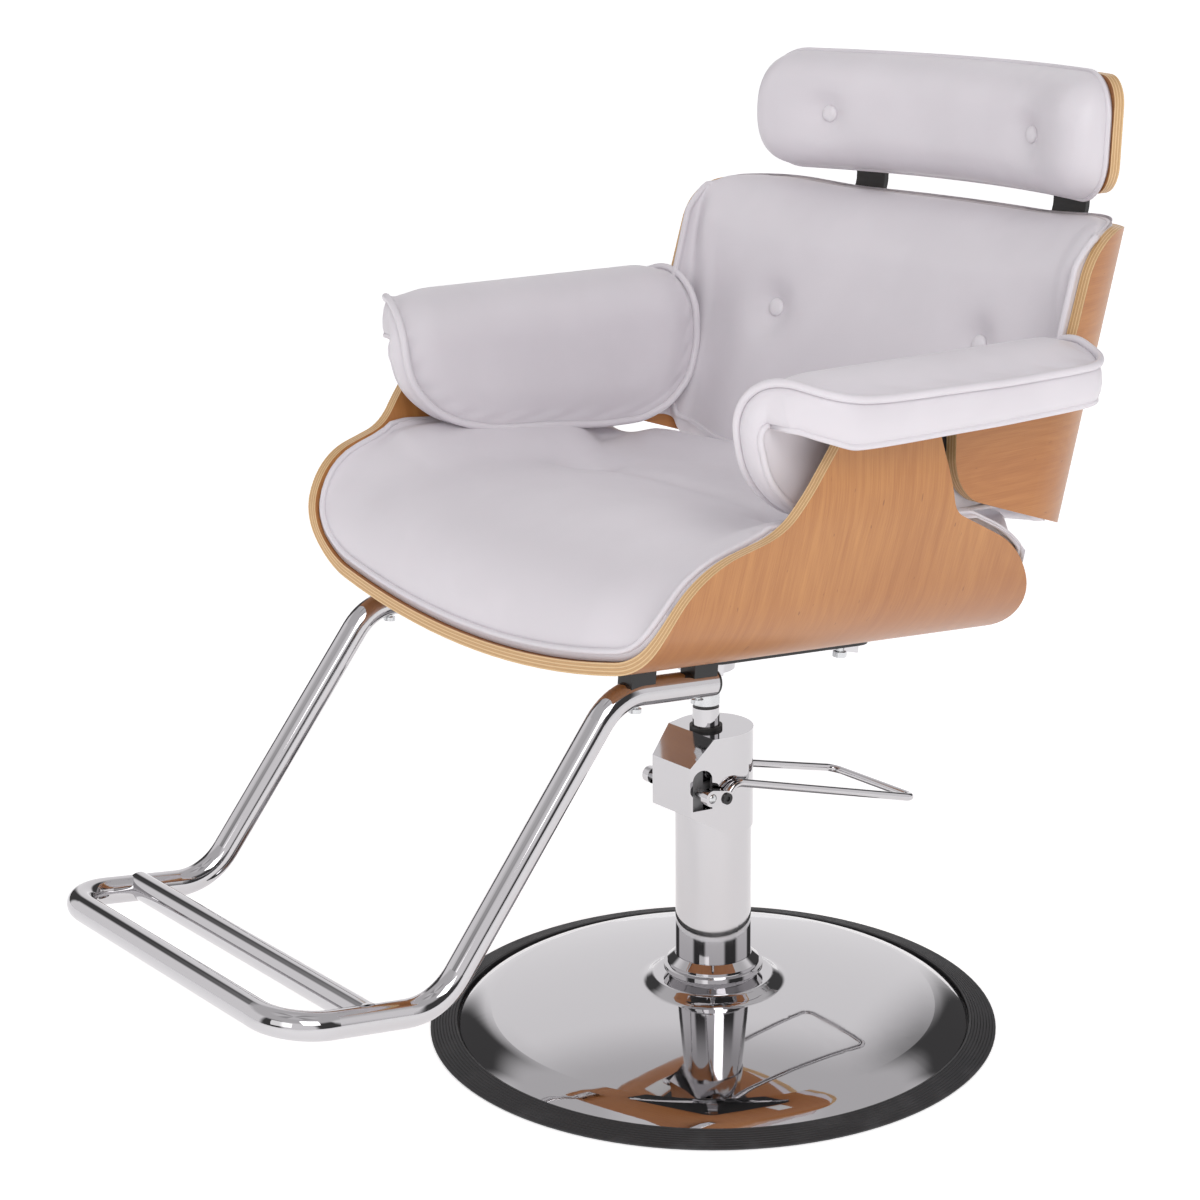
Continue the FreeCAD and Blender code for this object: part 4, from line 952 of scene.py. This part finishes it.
def build_arm(side, sign, material):
    """Arm pad: an upper panel rolled over the crown, a band round its edge and an under panel."""
    rows, columns = 111, 81
    loop = arm_loop()
    loop = np.roll(loop, -int(np.argmin(loop[:, 1])), axis=0)
    aft = int(np.argmax(loop[:, 1]))
    flap_side, outer_side = loop[:aft + 1], np.vstack([loop[aft:], loop[:1]])[::-1]
    y = loop[:, 1].min() + np.ptp(loop[:, 1]) * from_0_to_1(rows, 0.02, 0.98)
    flap, outer = (np.interp(y, run[:, 1], run[:, 0]) for run in (flap_side, outer_side))
    w = flap[:, None] + (outer - flap)[:, None] * from_0_to_1(columns)[None, ::-1]
    y = np.repeat(y[:, None], columns, axis=1)
    flat = np.stack([w, y], axis=-1).reshape(-1, 2)
    depth = np.linalg.norm(flat[:, None] - loop[None], axis=2).min(axis=1).reshape(w.shape)
    place, outward = arm_upper(w, y)
    puff = 7.5 * smooth(depth, 0.0, 40.0) ** 0.8
    pull = 0.7 * np.sin(w * 0.23 + y * 0.11) * hump(depth - 9.0, 8.0) * smooth(depth, 2.0, 7.0)
    upper = place + outward * (puff + pull)[..., None]
    lower = arm_lower(w, y)
    faces, rim = sheet_faces(rows, columns)
    points = [*upper.reshape(-1, 3), *lower.reshape(-1, 3)]
    # The band between the panels swells out round the rim.
    edge = flat[rim]
    away = arm_outwards(edge) * 6.0
    rings = [rim]
    for level in (0.08, 0.25, 0.5, 0.75, 0.92):
        swell = edge + away * (1 - (2 * level - 1) ** 2) ** 0.6
        high = arm_upper(swell[:, 0], swell[:, 1])[0]
        low = arm_lower(swell[:, 0], swell[:, 1])
        rings.append(list(range(len(points), len(points) + len(rim))))
        points += [*(high + (low - high) * level)]
    rings.append([rows * columns + k for k in rim])
    for ring, after in zip(rings, rings[1:]):
        faces += band_faces(ring, after)
    if sign > 0:
        faces = turned(faces)
    flip = np.array([sign, 1, 1])
    make_mesh(f"arm_cover_{side}", np.array(points) * flip, faces, material,
              f"arm_pad_{side}")
    out = 2.4
    wider = arm_outwards(loop) * out
    cord, lift = arm_upper(loop[:, 0] + wider[:, 0], loop[:, 1] + wider[:, 1])
    welt(f"arm_upper_welt_{side}", (cord + lift * out) * flip, material,
         closed=True, radius=3.9)
    welt(f"arm_lower_welt_{side}", arm_lower(loop[:, 0], loop[:, 1]) * flip, material,
         closed=True, radius=3.2)


# =============================================================================================
# Build
# =============================================================================================
white_vinyl = vinyl("white_vinyl", (0.70, 0.665, 0.70))
button_vinyl = vinyl("button_vinyl", (0.74, 0.71, 0.74))
finishes = {
    "chrome": mirror_chrome(),
    "ground_steel": speckled("ground_steel", (0.55, 0.55, 0.56), 0.3, grain=400.0),
    "plain_steel": speckled("primed_steel", (0.22, 0.22, 0.225), 0.55, 0.2),
    "black_steel": speckled("black_powder_coat", (0.014, 0.014, 0.015), 0.42, 0.0, 1200.0, 0.2),
    "zinc": speckled("bright_zinc", (0.66, 0.67, 0.68), 0.25),
    "rubber": ribbed_rubber(),
    "seal": speckled("seal_rubber", (0.02, 0.02, 0.02), 0.5, 0.0),
    "bronze": speckled("oiled_bronze", (0.55, 0.36, 0.16), 0.35),
    "plywood": board_plywood(),
    "plastic": speckled("black_plastic", (0.02, 0.02, 0.022), 0.4, 0.0),
    "label": speckled("blank_film", (0.75, 0.75, 0.74), 0.5, 0.0),
    "upholstery": white_vinyl,
}
own_finish = {
    "seat_shell": seat_plywood(),
    "back_shell": back_plywood(),
    "headrest_shell": headrest_plywood(),
}
slot_of = {part["node"]: part["material_slot"] for part in frame["record"]["subparts"]}
for name, obj in NODES.items():
    obj.data.materials.clear()
    obj.data.materials.append(own_finish.get(name) or finishes[slot_of[name]])

build_seat_cushion(white_vinyl, button_vinyl)
build_back_cushion(white_vinyl, button_vinyl)
build_headrest(white_vinyl, button_vinyl)
build_arm("left", 1, white_vinyl)
build_arm("right", -1, white_vinyl)

# =============================================================================================
# Floor, light and camera, in metres
# =============================================================================================


def build_floor():
    """A pale floor, wide enough to fill the view, that glows so that it comes out white."""
    count, radius, drop = 96, 60.0, -0.0005
    angles = [2 * math.pi * k / count for k in range(count)]
    ring = [(radius * math.cos(a), radius * math.sin(a), drop) for a in angles]
    mesh = bpy.data.meshes.new("floor")
    mesh.from_pydata(ring, [], [tuple(range(count))])
    floor = bpy.data.objects.new("floor", mesh)
    bpy.context.scene.collection.objects.link(floor)
    material, tree, shader = new_material(
        "pale_floor", (0.86, 0.86, 0.865), Roughness=0.6, Specular_IOR_Level=0.2,
        Emission_Color=(1, 1, 1, 1), Emission_Strength=0.52)
    shade = noise(tree, object_vector(tree), 0.8, 2.0)
    set_color(tree, shader, mix_color(tree, shade, (0.85, 0.85, 0.855), (0.87, 0.87, 0.875)))
    mesh.materials.append(material)


def build_world():
    """A dim studio with four bright upright panels round it, and brighter overhead."""
    world = bpy.data.worlds.new("studio")
    bpy.context.scene.world = world
    world.use_nodes = True
    tree = world.node_tree
    background = tree.nodes["Background"]
    x, y, z = coordinates(tree, "Generated", 1.0)
    azimuth = x.op("ARCTAN2", y)
    panels = None
    for place, width in ((-2.35, 0.55), (-0.9, 0.3), (0.55, 0.42), (2.2, 0.5)):
        away = ((azimuth - place) * 0.5).sin().abs()
        panel = 1.0 - away.smooth(width * 0.42, width * 0.42 + 0.09)
        panels = panel if panels is None else panels.high(panel)
    wall = panels * 0.92 + 0.07
    overhead = z.smooth(0.55, 0.72) * (1.0 - z.smooth(0.90, 0.96) * 0.35)
    level = wall.mix(0.66, overhead)
    color = combine(tree, level, level * 0.985, level)
    tree.links.new(color, background.inputs["Color"])
    background.inputs["Strength"].default_value = 1.0


def area_light(name, place, aim, size, power):
    data = bpy.data.lights.new(name, "AREA")
    data.shape = "RECTANGLE"
    data.size, data.size_y = size
    data.energy = power
    obj = bpy.data.objects.new(name, data)
    bpy.context.scene.collection.objects.link(obj)
    obj.location = place
    obj.rotation_euler = (Vector(aim) - Vector(place)).to_track_quat("-Z", "Y").to_euler()


def build_camera():
    """The photo's view, fitted to the base, the column and the footrest."""
    azimuth, elevation = 49.19, 15.74
    data = bpy.data.cameras.new("camera")
    data.sensor_width = 36.0
    data.lens = 77.74
    data.shift_x, data.shift_y = -0.0891, -0.0045
    data.clip_end = 200.0
    camera = bpy.data.objects.new("camera", data)
    bpy.context.scene.collection.objects.link(camera)
    camera.location = (1.9184, -1.6652, 1.1841)
    camera.rotation_euler = (math.radians(90.0 - elevation), 0, math.radians(azimuth))
    bpy.context.scene.camera = camera


build_floor()
build_world()
area_light("key", place=(1.2, -3.0, 1.3), aim=(0, 0, 0.5), size=(1.8, 1.6), power=10.0)
area_light("fill", place=(2.6, -1.0, 2.5), aim=(0, 0, 0.6), size=(1.6, 1.6), power=30.0)
build_camera()
bpy.context.scene.view_settings.view_transform = "Standard"
